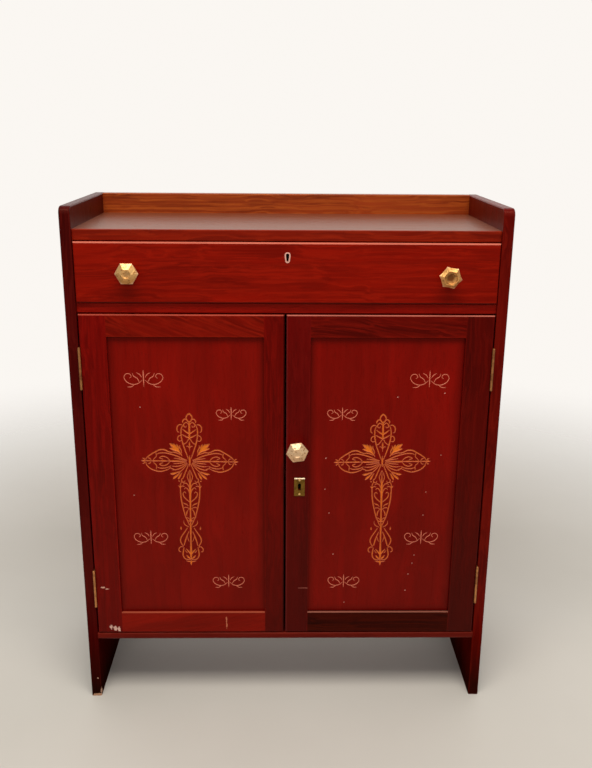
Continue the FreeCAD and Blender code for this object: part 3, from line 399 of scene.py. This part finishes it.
# Strokes of the cross: points across and up from the crossing, and half the width there, in millimetres.
# Each stroke of cross_halves is cut on both sides of the middle line, and those of cross_middle once.
cross_halves = (
    # top arm
    ((0, 86.5, 1.5), (3.6, 83, 1.4), (5, 78.5, 1.3), (3.2, 74, 1.3), (0, 71, 1.5)),
    ((3, 75, 0.9), (7.5, 76.5, 1.2), (10.8, 73, 1.3), (10.5, 69.5, 0.7)),
    ((0.8, 67, 1.1), (5, 70.5, 1.1), (9, 67.5, 1.1), (8.6, 63, 1.0), (5.4, 62.3, 0.9), (4.6, 65, 0.6)),
    ((2, 4, 0.9), (5.5, 14, 1.1), (9.5, 26, 1.3), (12.6, 38, 1.3), (14, 50, 1.3), (13.2, 60, 1.1),
     (10, 67, 0.9)),
    ((12.5, 66.5, 0.9), (17.5, 66, 1.2), (20.8, 61, 1.2), (20.2, 54.5, 1.0), (17.5, 52.5, 0.7)),
    ((14, 47, 0.8), (18.5, 45.5, 1.1), (20, 40.5, 1.1), (17.5, 36.8, 1.0), (13.6, 37.5, 0.8)),
    ((0, 50, 1.6), (5, 53.2, 1.5), (11, 58, 0.8)),
    ((0, 42.5, 1.5), (5, 44.5, 1.4), (12, 48.5, 0.9)),
    ((1.5, 40.5, 1.1), (4.6, 35, 1.0), (8.8, 31.5, 1.0), (11.2, 33.5, 0.7)),
    ((0, 24, 0.8), (2.8, 27.5, 1.0), (5.6, 27, 0.5)),
    # side arm
    ((6, 0, 0.7), (18, 0, 1.5), (30, 0, 1.8), (36, 0, 0.9), (44, 0.2, 1.7), (52, 0, 1.1), (60, 0, 1.5),
     (66, 0, 0.8), (72, 0, 1.3), (76, 0, 0.7)),
    ((29, 15.5, 0.7), (36, 17.2, 1.2), (43, 20.6, 1.4), (51, 20.4, 1.4), (58, 16.8, 1.3), (66, 11.8, 1.3),
     (73.5, 5.8, 1.1), (75, 2, 0.9)),
    ((33, -13, 0.7), (40, -16.6, 1.1), (50, -19.4, 1.3), (58, -18.4, 1.3), (67, -14.6, 1.2),
     (73.5, -8.2, 1.1), (75, -2.5, 0.9)),
    ((4, 1.6, 0.6), (12, 4.8, 1.0), (22, 9.4, 1.3), (32, 12.6, 1.3), (42, 14.8, 1.2), (51, 14.4, 1.0),
     (56, 12, 0.6)),
    ((32, -8.8, 0.7), (40, -12.4, 1.1), (50, -13.4, 1.1), (57, -11, 0.7)),
    ((34, 1, 0.8), (39, 6.4, 1.1), (46, 8.6, 1.1), (51.5, 5.6, 1.0), (46, 3.4, 0.8)),
    ((34, -1, 0.8), (39, -6.6, 1.1), (46, -8.8, 1.1), (51.5, -6, 1.0), (46, -3.4, 0.8)),
    ((57.5, 15, 0.9), (57, 8.5, 1.0), (60.5, 4.5, 0.9), (63, 1, 0.6)),
    ((57.5, -16, 0.9), (57, -8.5, 1.0), (60.5, -4.5, 0.9), (63, -1, 0.6)),
    ((66, 1, 0.7), (68.4, 4.6, 1.1), (71.6, 5.2, 0.5)),
    ((66, -1, 0.7), (68.4, -4.6, 1.1), (71.6, -5.2, 0.5)),
    ((75, 0, 1.0), (79, 0, 1.8), (83.2, -0.2, 0.6)),
    ((76, 1.5, 0.8), (78.4, 4.2, 1.2), (81, 4.6, 0.4)),
    ((76, -1.5, 0.8), (78.4, -4.6, 1.2), (81, -5.2, 0.4)),
    # rays and leaves between the arms
    ((5, 1.2, 0.6), (16, 3.8, 1.2), (27, 5.4, 0.7)),
    ((5, -1.2, 0.6), (16, -3.6, 1.2), (28, -5, 0.7)),
    ((5, -2.6, 0.6), (15, -8, 1.2), (24, -9.8, 1.1), (31, -9.2, 0.6)),
    ((4.4, -3.6, 0.6), (13, -11.2, 1.2), (22, -15.4, 1.2), (30, -16.5, 0.7)),
    ((3.8, -4.6, 0.6), (11, -14, 1.1), (18, -20.5, 1.0), (22, -22, 0.6)),
    ((12.5, 9, 0.7), (17, 16, 1.8), (22.5, 22.5, 4.2), (28, 27.5, 4.0), (34, 32, 0.9)),
    ((19, 17.5, 1.2), (25.5, 20.8, 2.6), (31, 22.8, 2.0), (34.5, 23.4, 0.5)),
    ((19, 19, 1.0), (23.5, 26, 2.4), (27, 32, 0.6)),
    ((16, 12, 0.8), (23, 15.4, 1.3), (29, 16.2, 1.1), (33.5, 14.5, 0.5)),
    ((13.8, 14, 0.8), (14.4, 20, 1.1), (17, 25.6, 1.2), (16.2, 29.2, 0.6)),
    ((18.5, 22, 1.2), (20.5, 27.5, 1.7), (22, 31, 0.6)),
    ((18, -19, 0.7), (24.5, -22, 1.8), (29.5, -23.6, 2.3), (33.6, -23.6, 0.9)),
    ((16.5, -21, 0.7), (21.5, -26, 1.8), (26, -30, 2.3), (29, -33.4, 0.9)),
    ((13.5, -21, 0.6), (16.5, -26, 1.6), (19, -31, 1.9), (20.4, -34, 0.7)),
    ((24, -17, 0.7), (29.5, -14.4, 1.1), (33.6, -12.4, 1.0), (34.4, -9, 0.5)),
    # lower arm
    ((2, -5, 0.9), (5.2, -14, 1.1), (9.2, -24, 1.2), (11.8, -31, 1.1), (14.6, -34, 1.1), (13.8, -38.2, 1.0),
     (9.6, -38.6, 0.9), (8.6, -35.6, 0.6)),
    ((0, -16, 0.7), (2.6, -22, 0.9), (4.4, -29, 1.0), (2.6, -36, 0.9), (0.8, -41, 0.7)),
    ((17.2, -38.2, 0.5), (18.6, -37, 1.3), (19.8, -35.8, 0.5)),
    ((0, -52, 0.9), (4.6, -42.5, 1.1), (9.4, -41, 1.0), (12.4, -43.6, 0.6)),
    ((0, -64, 0.9), (3.4, -53, 1.1), (7.6, -49.5, 1.0), (10.6, -52.4, 0.6)),
    ((17.2, -48, 1.1), (16.2, -42, 1.0), (13.4, -36, 0.8)),
    ((9.5, -47, 0.8), (13.5, -46.2, 1.1), (17.2, -48, 1.5), (19.8, -45.5, 0.7)),
    ((16.8, -48, 1.2), (16.6, -58, 1.2), (15.8, -70, 1.3), (13.6, -83, 1.3), (11.2, -94, 1.2),
     (8.6, -104, 1.2), (5.4, -112, 1.1), (1.8, -121, 1.0)),
    ((1.5, -76, 0.9), (6.5, -71.5, 1.1), (11, -66, 1.2), (12.4, -60, 1.0), (9.2, -57.2, 0.9),
     (7.2, -60.4, 0.6)),
    ((3.4, -84.5, 0.6), (6.2, -81, 1.1), (10, -79.4, 1.2), (12.4, -77.4, 0.5)),
    ((1.6, -90, 0.8), (5, -87, 1.0), (9.6, -86.6, 1.0), (11.6, -88.4, 0.5)),
    ((3, -90, 0.5), (5.6, -94, 1.2), (7, -99, 1.2), (6.4, -102.6, 0.5)),
    ((1.4, -109.5, 0.8), (5, -106.4, 1.0), (9.4, -105.8, 0.7)),
    ((0, -112, 1.3), (2.8, -112.6, 1.2), (4.2, -111, 0.6)),
    ((3, -124, 0.8), (8.6, -121, 1.0), (11.6, -117, 0.9), (12, -112, 0.5)),
    ((16.2, -129.8, 0.6), (17, -127, 1.5), (17, -123.6, 0.6)),
    ((6, -126, 0.9), (10.8, -134, 1.1), (16.4, -143, 1.2), (18.4, -150, 1.2), (16.4, -157, 1.1),
     (13, -161.5, 1.0)),
    ((3.4, -133, 0.7), (6.6, -141, 1.2), (9.6, -150, 1.3), (12.2, -160.5, 1.0)),
    ((2.8, -153, 0.4), (5, -147.5, 0.8), (6, -142, 0.4)),
    ((13.4, -163, 0.9), (17.6, -162.6, 1.1), (21.2, -166.4, 1.1), (20.6, -171.6, 1.0), (17.4, -172.6, 0.7)),
    ((12.4, -164, 0.9), (13.6, -171.5, 1.3), (14.2, -179, 1.3), (11, -185.6, 1.2), (5.6, -188, 1.0),
     (0.6, -187.4, 0.9)),
    ((0.8, -176.5, 1.5), (4.4, -171.6, 1.6), (8.6, -166.8, 0.7)),
    ((6.2, -174.8, 0.5), (8.4, -172.4, 1.0), (10.4, -169.4, 0.5)),
    ((1.4, -186, 1.0), (5, -183, 1.9), (8, -179, 0.7)),
    ((0, -191.6, 1.2), (5, -191.4, 1.2), (9.2, -190.2, 0.5)),
)
cross_middle = (
    ((0, 72, 1.3), (0, 66, 1.7), (0, 58, 1.9), (0, 50, 1.8), (0, 43, 1.7), (0, 39.5, 0.6)),
    ((0, 36, 0.5), (0, 31, 1.5), (0, 25.5, 0.9), (0, 18, 0.5)),
    ((0, 11, 0.5), (0, 4, 1.7), (0, -2, 1.7), (0, -10, 0.5)),
    ((0, -20, 0.6), (0, -34, 1.4), (0, -44, 2.1), (0, -60, 2.2), (0, -76, 1.9), (0, -92, 1.5), (0, -106, 1.6),
     (0, -112, 1.9)),
    ((0, -113, 1.0), (0, -120, 1.5), (0, -130, 1.8), (0, -144, 1.5), (0, -158, 1.7), (0, -168, 2.1),
     (0, -176, 2.4), (0, -184, 1.5), (0, -188, 1.0)),
    ((0, -189.5, 1.3), (0, -194, 2.0), (0, -199, 0.5)),
)
# A scroll flourish 58 mm wide, half of it and its middle bud, set at four places on each panel
flourish_halves = (
    ((2, -2, 0.4), (8, -7, 0.7), (16, -8.5, 0.8), (24, -5, 0.8), (28, 1.5, 0.7), (25.5, 7, 0.7),
     (20, 7.4, 0.7), (17.6, 3.4, 0.6), (20.4, 0.8, 0.4)),
    ((6, -5.4, 0.4), (9, 0.5, 0.8), (14, 4, 0.8), (16, 8.6, 0.4)),
    ((2.4, 2, 0.4), (5.4, 6.6, 0.8), (10, 9.2, 0.4)),
    ((13, -8.4, 0.4), (18, -12, 0.8), (24, -12.4, 0.4)),
)
flourish_middle = (((0, -12, 0.4), (0, -5, 0.9), (0, 2, 1.0), (0, 9, 1.0), (0, 13, 0.4)),)
# Middle of each flourish, from the panel's hinge side towards its meeting side and up, and its size
flourish_places = ((239, 613.5, 1.15), (94, 552, 0.9), (238.5, 321.5, 1.05), (103, 235, 1.0))
# Crossing of each panel's cross in the same way, by the door's hand, and how far its top leans to the meeting
# side in degrees
cross_places = {-1: (166.3, 466.2), 1: (164.7, 465.5)}
cross_lean = 0.8
# Small knocks in the varnish of each panel: place and half size
left_knocks = ((247, 564, 0.9), (264.6, 403, 1.0))
right_knocks = (
    (187, 582.5, 0.9), (266, 589.7, 1.0), (67.6, 472.2, 1.0), (265.5, 478, 0.8), (66.8, 414.4, 1.0),
    (243, 409, 0.9), (74.6, 369, 0.9), (240, 365, 0.8), (83.2, 289, 0.9), (227.8, 287, 0.8), (225, 271, 0.8),
    (218.8, 249, 0.9), (214.8, 216.5, 0.9), (105, 192.3, 0.8),
)
knock_end = 0.4
# Share of the drawn width that is cut, and the panel's materials for each kind of cut, after the stained face
cross_width_share = 0.92
flourish_width_share = 0.85
cross_cut, fine_cut, knock = 1, 2, 3
# Grooves slope at the angle of a vee cutter, start just inside the drawn edge and stop at this depth
groove_slope = 0.8
groove_edge = 0.05
groove_depth = 1.3
# Points across and up the flat of a panel, and the area or distance that counts as none
flat_columns = 54
flat_rows = 105
least = 1e-4


def routed_panel(node, hand, knocks, woods):
    """Door panel with its ornament routed into the front.

    Each stroke is a strip of triangles either side of its path. One planar triangulation holds every strip,
    and a point's depth is the largest over the strokes of slope times (half width less its distance from the
    path).
    """
    low, high = (np.array(corner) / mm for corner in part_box(node))
    lean = math.radians(cross_lean)
    cosine, sine = math.cos(lean), math.sin(lean)
    leaned = np.array(((cosine, sine, 0), (-sine, cosine, 0), (0, 0, cross_width_share)))
    crossing = (*cross_places[hand], 0)
    strokes = []
    for side in (1, -1):
        for points in cross_halves:
            strokes.append((smooth_path(points) * (side, 1, 1) @ leaned + crossing, cross_cut))
        for across, up, size in flourish_places:
            scale = (side * size, size, flourish_width_share)
            for points in flourish_halves:
                strokes.append((smooth_path(points) * scale + (across, up, 0), fine_cut))
    for points in cross_middle:
        strokes.append((smooth_path(points) @ leaned + crossing, cross_cut))
    for across, up, size in flourish_places:
        scale = (size, size, flourish_width_share)
        for points in flourish_middle:
            strokes.append((smooth_path(points) * scale + (across, up, 0), fine_cut))
    for across, up, size in knocks:
        nick = ((across - size, up - size, knock_end), (across, up, size), (across + size, up, knock_end))
        strokes.append((smooth_path(nick, 2), knock))

    corners = np.array(((low[0], low[2]), (high[0], low[2]), (high[0], high[2]), (low[0], high[2])))
    # A grid of points over the flat keeps its triangles small, so none stretches from stroke to stroke.
    columns = np.linspace(low[0], high[0], flat_columns)[1:-1]
    rows = np.linspace(low[2], high[2], flat_rows)[1:-1]
    wide, high_up = np.meshgrid(columns, rows)
    flat = [corners, np.stack((wide.ravel(), high_up.ravel()), axis=1)]
    strips = []
    kinds = []
    starts = []
    ends = []
    count = len(corners) + wide.size
    for path, kind in strokes:
        path = path * (hand, 1, 1)
        lead = np.gradient(path[:, :2], axis=0)
        lead /= np.linalg.norm(lead, axis=1, keepdims=True)
        across = np.stack((-lead[:, 1], lead[:, 0]), axis=1) * path[:, 2:]
        middle = path[:, :2]
        flat.append(np.stack((middle + across, middle, middle - across), axis=1).reshape(-1, 2))
        first = count + 3 * np.arange(len(path) - 1)
        strips.append(np.add.outer(first, ((0, 1, 4), (0, 4, 3), (1, 2, 5), (1, 5, 4))).reshape(-1, 3))
        kinds.append(np.full(len(strips[-1]), kind))
        starts.append(path[:-1])
        ends.append(path[1:])
        count += 3 * len(path)
    flat = np.vstack(flat)
    strips = np.vstack(strips)
    area = np.cross(flat[strips[:, 1]] - flat[strips[:, 0]], flat[strips[:, 2]] - flat[strips[:, 0]])
    strips[area < 0] = strips[area < 0][:, ::-1]
    sound = np.abs(area) > least
    kinds = np.concatenate(kinds)[sound]
    strips = strips[sound].tolist()
    points, _, faces, _, _, sources = geometry.delaunay_2d_cdt(
        [Vector(point) for point in flat], [], strips, 0, least, True
    )
    points = np.array([tuple(point) for point in points])
    faces = np.array(faces)

    starts = np.vstack(starts)
    run = np.vstack(ends) - starts
    length = (run[:, :2] ** 2).sum(axis=1)
    depth = np.zeros(len(points))
    for block in np.array_split(np.arange(len(points)), 1 + len(points) // 1000):
        apart = points[block, None] - starts[None, :, :2]
        share = np.clip((apart * run[None, :, :2]).sum(axis=2) / length, 0, 1)
        gap = np.linalg.norm(apart - share[:, :, None] * run[None, :, :2], axis=2)
        depth[block] = (starts[:, 2] + share * run[:, 2] - gap).max(axis=1)
    depth = np.clip(groove_slope * (depth - groove_edge), 0, groove_depth)
    front = np.stack((points[:, 0], low[1] + depth, points[:, 1]), axis=1)

    back = np.stack((corners[:, 0], np.full(4, high[1]), corners[:, 1]), axis=1)
    rim = [int(np.argmin(np.abs(points - corner).sum(axis=1))) for corner in corners]
    rear = [len(points) + index for index in range(4)]
    one, two, three = faces.T
    turn = np.cross(points[two] - points[one], points[three] - points[one])
    faces[turn < 0] = faces[turn < 0][:, ::-1]
    shell = faces.tolist() + [rear[::-1]]
    for index in range(4):
        following = (index + 1) % 4
        shell.append([rim[following], rim[index], rear[index], rear[following]])
    mesh = bpy.data.meshes.new(node + "_routed")
    mesh.from_pydata((np.vstack((front, back)) * mm).tolist(), [], shell)
    cuts = [int(kinds[source].min()) if source else 0 for source in sources] + [0] * 5
    mesh.polygons.foreach_set("material_index", np.array(cuts, np.int32))
    for material in woods:
        mesh.materials.append(material)
    mesh.update()
    piece = bpy.data.objects.new(node + "_routed", mesh)
    bpy.context.scene.collection.objects.link(piece)
    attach(piece, node.removesuffix("_panel"))
    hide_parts(node)
    return piece


def routed_wood(name, lip, floor, face, depth):
    """Bare mahogany in a routed groove: dark red at the lip, where stain holds, and orange at the bottom."""
    material, tree, shader = new_material(name, Specular_IOR_Level=0.2, Roughness=0.55)
    where = put(tree, "TexCoord").outputs["Object"]
    patch = put(tree, "TexNoise", {"Vector": where, "Scale": 1 / (4 * mm), "Detail": 2.0}).outputs[0]
    inward = put(tree, "SeparateXYZ", {0: where}).outputs["Y"]
    uneven = put(tree, "Math", {0: patch, 1: 0.7 * depth * mm, 2: inward}, operation="MULTIPLY_ADD")
    start = face + 0.25 * depth * mm
    share = {"Value": uneven.outputs[0], "From Min": start, "From Max": start + depth * mm}
    share = put(tree, "MapRange", share)
    body = put(tree, "Mix", {0: share.outputs[0], mix_a: linear(lip), mix_b: linear(floor)}, data_type="RGBA")
    tree.links.new(body.outputs[mix_result], shader.inputs["Base Color"])
    bump = put(tree, "Bump", {"Strength": 0.2, "Distance": 0.3 * mm, "Height": patch})
    tree.links.new(bump.outputs[0], shader.inputs["Normal"])
    return material


panel_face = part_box("left_door_panel")[0][1]
cut_wood = routed_wood("routed bare mahogany", "#a64838", "#da7016", panel_face, 1.15)
fine_cut_wood = routed_wood("routed mahogany, thin cut", "#c0624a", "#da8268", panel_face, 0.5)
chipped_wood = bare_wood("knocked varnish", "z", "#d89c90", 5, 3, 30, 0.5)
for node, hand, tone, low, knocks in (
    ("left_door_panel", -1, "#7a0a04", 0.08, left_knocks),
    ("right_door_panel", 1, "#790904", 0.25, right_knocks),
):
    # The panel's border darkens with painted shade next to the frame.
    look = {"figure": 0.5, "fine": 0.3, "wear_and_highlight": 0, "border_shade": 0.55, "low": low}
    stain = stained_board(node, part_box(node), "z", tone, 20 + hand, look)
    routed_panel(node, hand, knocks, (stain, cut_wood, fine_cut_wood, chipped_wood))


def knob_brass(node, centre, dish, soil_and_shade, tone, lower):
    """Cast brass, rubbed pale and rosy at the rim, tarnished in spots, with brown dirt left in the dish."""
    material, tree, shader = new_material("cast brass " + node, Metallic=0.9)
    where = put(tree, "TexCoord").outputs["Object"]
    offset = put(tree, "VectorMath", {0: where, 1: centre}, operation="SUBTRACT")
    flat = put(tree, "VectorMath", {0: offset.outputs[0], 1: (1, 0, 1)}, operation="MULTIPLY")
    radius = put(tree, "VectorMath", {0: flat.outputs[0]}, operation="LENGTH").outputs["Value"]
    spots = put(tree, "TexNoise", {"Vector": where, "Scale": 1 / (4.5 * mm), "Detail": 3.0}).outputs[0]
    smear = put(tree, "Math", {0: spots, 1: 16 * mm, 2: radius}, operation="MULTIPLY_ADD").outputs[0]
    over = put(tree, "SeparateXYZ", {0: offset.outputs[0]}).outputs["Z"]
    shade_height = put(tree, "Math", {0: spots, 1: 12 * mm, 2: over}, operation="MULTIPLY_ADD").outputs[0]
    layers = (
        # Painted shade: the knob darkens towards its lower half, which turns away from the light above.
        (shade_height, 8 * mm, -6 * mm, lower, "#b06c2c"),
        (spots, 0.52, 0.7, 0.8, "#96571f"),
        (radius, 15 * mm, 19 * mm, 0.7, "#ffd4b0"),
        (smear, (dish + 8) * mm, (0.6 * dish + 6) * mm, soil_and_shade, "#6a2e06"),
    )
    colour = linear(tone)
    for mask, start, end, strength, shade in layers:
        share = put(tree, "MapRange", {"Value": mask, "From Min": start, "From Max": end, "To Max": strength})
        mixed = {0: share.outputs[0], mix_a: colour, mix_b: linear(shade)}
        colour = put(tree, "Mix", mixed, data_type="RGBA").outputs[mix_result]
    tree.links.new(colour, shader.inputs["Base Color"])
    gloss = {"Value": spots, "From Min": 0.3, "From Max": 0.7, "To Min": 0.42, "To Max": 0.6}
    gloss = put(tree, "MapRange", gloss)
    tree.links.new(gloss.outputs[0], shader.inputs["Roughness"])
    bump = put(tree, "Bump", {"Strength": 0.35, "Distance": 0.8 * mm, "Height": spots})
    tree.links.new(bump.outputs[0], shader.inputs["Normal"])
    return material


# Knobs, in millimetres: height off the wood, radius inside which nothing is dented, depth of the dents, and
# the count of points round the axis
knob_height = 27
knob_foot_radius = 9.2
knob_dent = 0.25
knob_steps = 96


def cast_knob(node, body, turn, face, dish, sink, hollow, *brass):
    """Six-sided flared knob: a profile of radius and height turned about the axis from the wood to the face.

    At angle phi the radius is the profile's times a hexagon factor, 1 at the corners and cos 30 over the
    cosine from the side's middle between them, a little hollowed, blended in by each station's share of the
    hexagon and dented.
    """
    # Radius, height off the wood and share of the hexagon, station by station
    profile = np.array(
        (
            (0, 0, 0), (9, 0, 0), (9, 2.4, 0), (8.6, 2.8, 0), (6, 3.0, 0), (6, 8.6, 0), (9, 9.9, 1),
            (14, 15, 1), (18.5, 19.6, 1), (19, 20.2, 1), (19, 21.0, 1), (18.6, 21.7, 1),
            (0.33 * face + 12.4, 23.4, 1), (0.67 * face + 6.2, 25.1, 1), (face, 26.7, 1),
            (face - 0.8, knob_height, 0.8), (dish, 26.8, 0.4), (0.9 * dish, knob_height - 0.45 * sink, 0.1),
            (0.75 * dish, knob_height - 0.8 * sink, 0), (0.5 * dish, knob_height - 0.95 * sink, 0),
            (0.25 * dish, knob_height - sink, 0), (0, knob_height - sink, 0),
        )
    )
    low, high = (np.array(corner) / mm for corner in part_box(node))
    middle = (low + high) / 2
    phi = np.arange(knob_steps) * 2 * np.pi / knob_steps
    fold = np.abs((phi + np.pi / 6) % (np.pi / 3) - np.pi / 6)
    straight = math.cos(math.pi / 6) / np.cos(np.pi / 6 - fold)
    hexagon = 1 - hollow * (1 - straight)
    radius, height, share = (column[:, None] for column in profile.T)
    dent = np.sin(5 * phi + 0.9 * height) * np.sin(3 * phi - 0.7 * height) * (radius > knob_foot_radius)
    reach = radius * (1 - share * (1 - hexagon)) - np.abs(knob_dent * dent)
    angle = phi + math.radians(turn)
    across = middle[0] + reach * np.cos(angle)
    outward = high[1] - height + 0 * angle
    up = middle[2] + reach * np.sin(angle)
    points = np.stack((across, outward, up), axis=2)
    first = np.arange((len(profile) - 1) * knob_steps).reshape(-1, knob_steps)
    beside = np.roll(first, -1, axis=1)
    quads = np.stack((first, beside, beside + knob_steps, first + knob_steps), axis=2).reshape(-1, 4)
    mesh = bpy.data.meshes.new(node + "_cast")
    mesh.from_pydata((points.reshape(-1, 3) * mm).tolist(), [], quads.tolist())
    mesh.materials.append(knob_brass(node, Vector(middle * mm), dish, *brass))
    finish_piece(mesh, body, "brass", node)


def finish_piece(mesh, body, slot, *replaced):
    """Object of the mesh on its body: doubled points joined at the poles and faces turned outward."""
    shell = bmesh.new()
    shell.from_mesh(mesh)
    bmesh.ops.remove_doubles(shell, verts=shell.verts, dist=1e-6)
    bmesh.ops.recalc_face_normals(shell, faces=shell.faces)
    shell.to_mesh(mesh)
    shell.free()
    piece = bpy.data.objects.new(mesh.name, mesh)
    bpy.context.scene.collection.objects.link(piece)
    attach(piece, body)
    if replaced:
        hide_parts(*replaced)


# The last figure of each knob is how strongly its lower half is darkened with painted shade.
cast_knob("drawer_left_knob", "drawer", 0, 9, 7, 1.6, 1.0, 0.4, "#f8c884", 0.65)
cast_knob("drawer_right_knob", "drawer", -10, 13, 11, 4.6, 1.3, 0.9, "#ffc87c", 0.4)
cast_knob("door_knob", "right_door", 8, 9, 7, 1.2, 1.0, 0.2, "#ffdcb0", 0.35)


# Rolled lip of the lock plate, in millimetres: its radius, how far its middle stands behind the plate's face,
# how far its ends stop short of the plate's, and the count of points round it
lip_radius = 1.5
lip_setback = 1.0
lip_end = 0.3
lip_steps = 24


def rolled_lip(node, body):
    """Rolled top edge of the lock plate: a circle carried straight across, closed by its end caps."""
    low, high = (np.array(corner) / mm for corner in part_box(node))
    turns = np.arange(lip_steps) * 2 * np.pi / lip_steps
    across = np.array((low[0] + lip_end, high[0] - lip_end))[:, None]
    ring_y = low[1] + lip_setback + lip_radius * np.cos(turns)
    ring_z = high[2] - lip_radius + lip_radius * np.sin(turns)
    points = np.stack((across + 0 * turns, ring_y + 0 * across, ring_z + 0 * across), axis=2).reshape(-1, 3)
    first = np.arange(lip_steps)
    beside = np.roll(first, -1)
    faces = np.stack((first, beside, beside + lip_steps, first + lip_steps), axis=1).tolist()
    mesh = bpy.data.meshes.new(node + "_lip")
    mesh.from_pydata((points * mm).tolist(), [], faces + [first.tolist(), (first + lip_steps).tolist()])
    # The lip's pale brass colour is partly a painted highlight along the plate's top edge.
    mesh.materials.append(finishes["highlight brass"])
    finish_piece(mesh, body, "brass")


rolled_lip("door_lock_plate", "right_door")


# Camera fitted to the photograph: place in metres, heading, look down and lean in degrees, and focal length
# and height of the picture in pixels, on a film of this size in millimetres
camera_place = (-0.0098, -1.5054, 1.0229)
camera_angles = (1.030, 16.815, 0.430)
camera_focal = 863.74
picture_height = 768
film_size = 36
# Radii of the floor's rings in metres, and the count of points round each
floor_rings = np.array((0.0, 0.6, 1.2, 1.8, 2.4))
floor_steps = 64


def place_camera():
    """Camera at the photograph's place: a heading, a look down and a slight lean turn its axes."""
    heading, down, lean = (math.radians(angle) for angle in camera_angles)
    ahead = Vector((math.sin(heading), math.cos(heading), 0))
    across = Vector((math.cos(heading), -math.sin(heading), 0))
    upright = Vector((0, 0, 1))
    look = math.cos(down) * ahead - math.sin(down) * upright
    over = math.sin(down) * ahead + math.cos(down) * upright
    right = math.cos(lean) * across + math.sin(lean) * over
    up = math.cos(lean) * over - math.sin(lean) * across
    camera = bpy.data.objects.new("camera", bpy.data.cameras.new("camera"))
    camera.data.sensor_width = film_size
    camera.data.lens = film_size * camera_focal / picture_height
    turned = Matrix((right, up, -look)).transposed().to_4x4()
    camera.matrix_world = Matrix.Translation(camera_place) @ turned
    bpy.context.scene.collection.objects.link(camera)
    bpy.context.scene.camera = camera


def lay_floor():
    """Pale painted floor: a flat disc of rings of points about the middle, fading into pale surroundings."""
    turns = np.linspace(0, 2 * np.pi, floor_steps + 1)[:-1]
    across = np.outer(floor_rings, np.cos(turns))
    back = np.outer(floor_rings, np.sin(turns))
    rings = np.stack((across, back, np.zeros_like(across)), axis=2)
    first = np.arange((len(floor_rings) - 1) * floor_steps).reshape(-1, floor_steps)
    beside = np.roll(first, -1, axis=1)
    quads = np.stack((first, first + floor_steps, beside + floor_steps, beside), axis=2).reshape(-1, 4)
    mesh = bpy.data.meshes.new("floor")
    mesh.from_pydata(rings.reshape(-1, 3).tolist(), [], quads.tolist())
    material, tree, shader = new_material("painted floor", Roughness=0.75, Specular_IOR_Level=0.2)
    where = put(tree, "TexCoord").outputs["Object"]
    patch = put(tree, "TexNoise", {"Vector": where, "Scale": 2.5, "Detail": 4.0}).outputs[0]
    body = put(
        tree, "Mix", {0: patch, mix_a: linear("#c9c7c1"), mix_b: linear("#d6d4cf")}, data_type="RGBA"
    )
    tree.links.new(body.outputs[mix_result], shader.inputs["Base Color"])
    away = put(tree, "VectorMath", {0: where}, operation="LENGTH").outputs["Value"]
    fade = {"Value": away, "From Min": 0.7, "From Max": 2.2, "To Min": 1.0, "To Max": 0.0}
    fade = put(tree, "MapRange", fade, interpolation_type="SMOOTHSTEP")
    tree.links.new(fade.outputs[0], shader.inputs["Alpha"])
    mesh.materials.append(material)
    floor = bpy.data.objects.new("floor", mesh)
    bpy.context.scene.collection.objects.link(floor)


def add_light(name, place, aim, size, power, colour):
    """Rectangular soft light at place that faces aim."""
    data = bpy.data.lights.new(name, "AREA")
    data.shape = "RECTANGLE"
    data.size, data.size_y = size
    data.energy = power
    data.color = linear(colour)[:3]
    light = bpy.data.objects.new(name, data)
    light.location = place
    light.rotation_euler = (Vector(aim) - Vector(place)).to_track_quat("-Z", "Y").to_euler()
    bpy.context.scene.collection.objects.link(light)


def light_room():
    """Studio surroundings by direction: a white backdrop behind, dimmer in front."""
    world = bpy.data.worlds.new("studio")
    bpy.context.scene.world = world
    world.use_nodes = True
    tree = world.node_tree
    direction = put(tree, "SeparateXYZ", {0: put(tree, "TexCoord").outputs["Generated"]}).outputs
    behind = {"Value": direction["Y"], "From Min": -0.1, "From Max": 0.7, "To Min": 0.28, "To Max": 0.98}
    strength = put(tree, "MapRange", behind, interpolation_type="SMOOTHSTEP")
    background = tree.nodes["Background"]
    background.inputs["Color"].default_value = linear("#fdf9f4")
    tree.links.new(strength.outputs[0], background.inputs["Strength"])


place_camera()
lay_floor()
light_room()
add_light("ceiling light", (0, -1.1, 2.6), (0, 0, 0.5), (2.0, 1.0), 50, "#fff6ea")
add_light("window light", (0, -3.4, 1.9), (0, 0, 0.5), (2.4, 1.2), 24, "#fffaf4")
bpy.context.scene.view_settings.view_transform = "Standard"
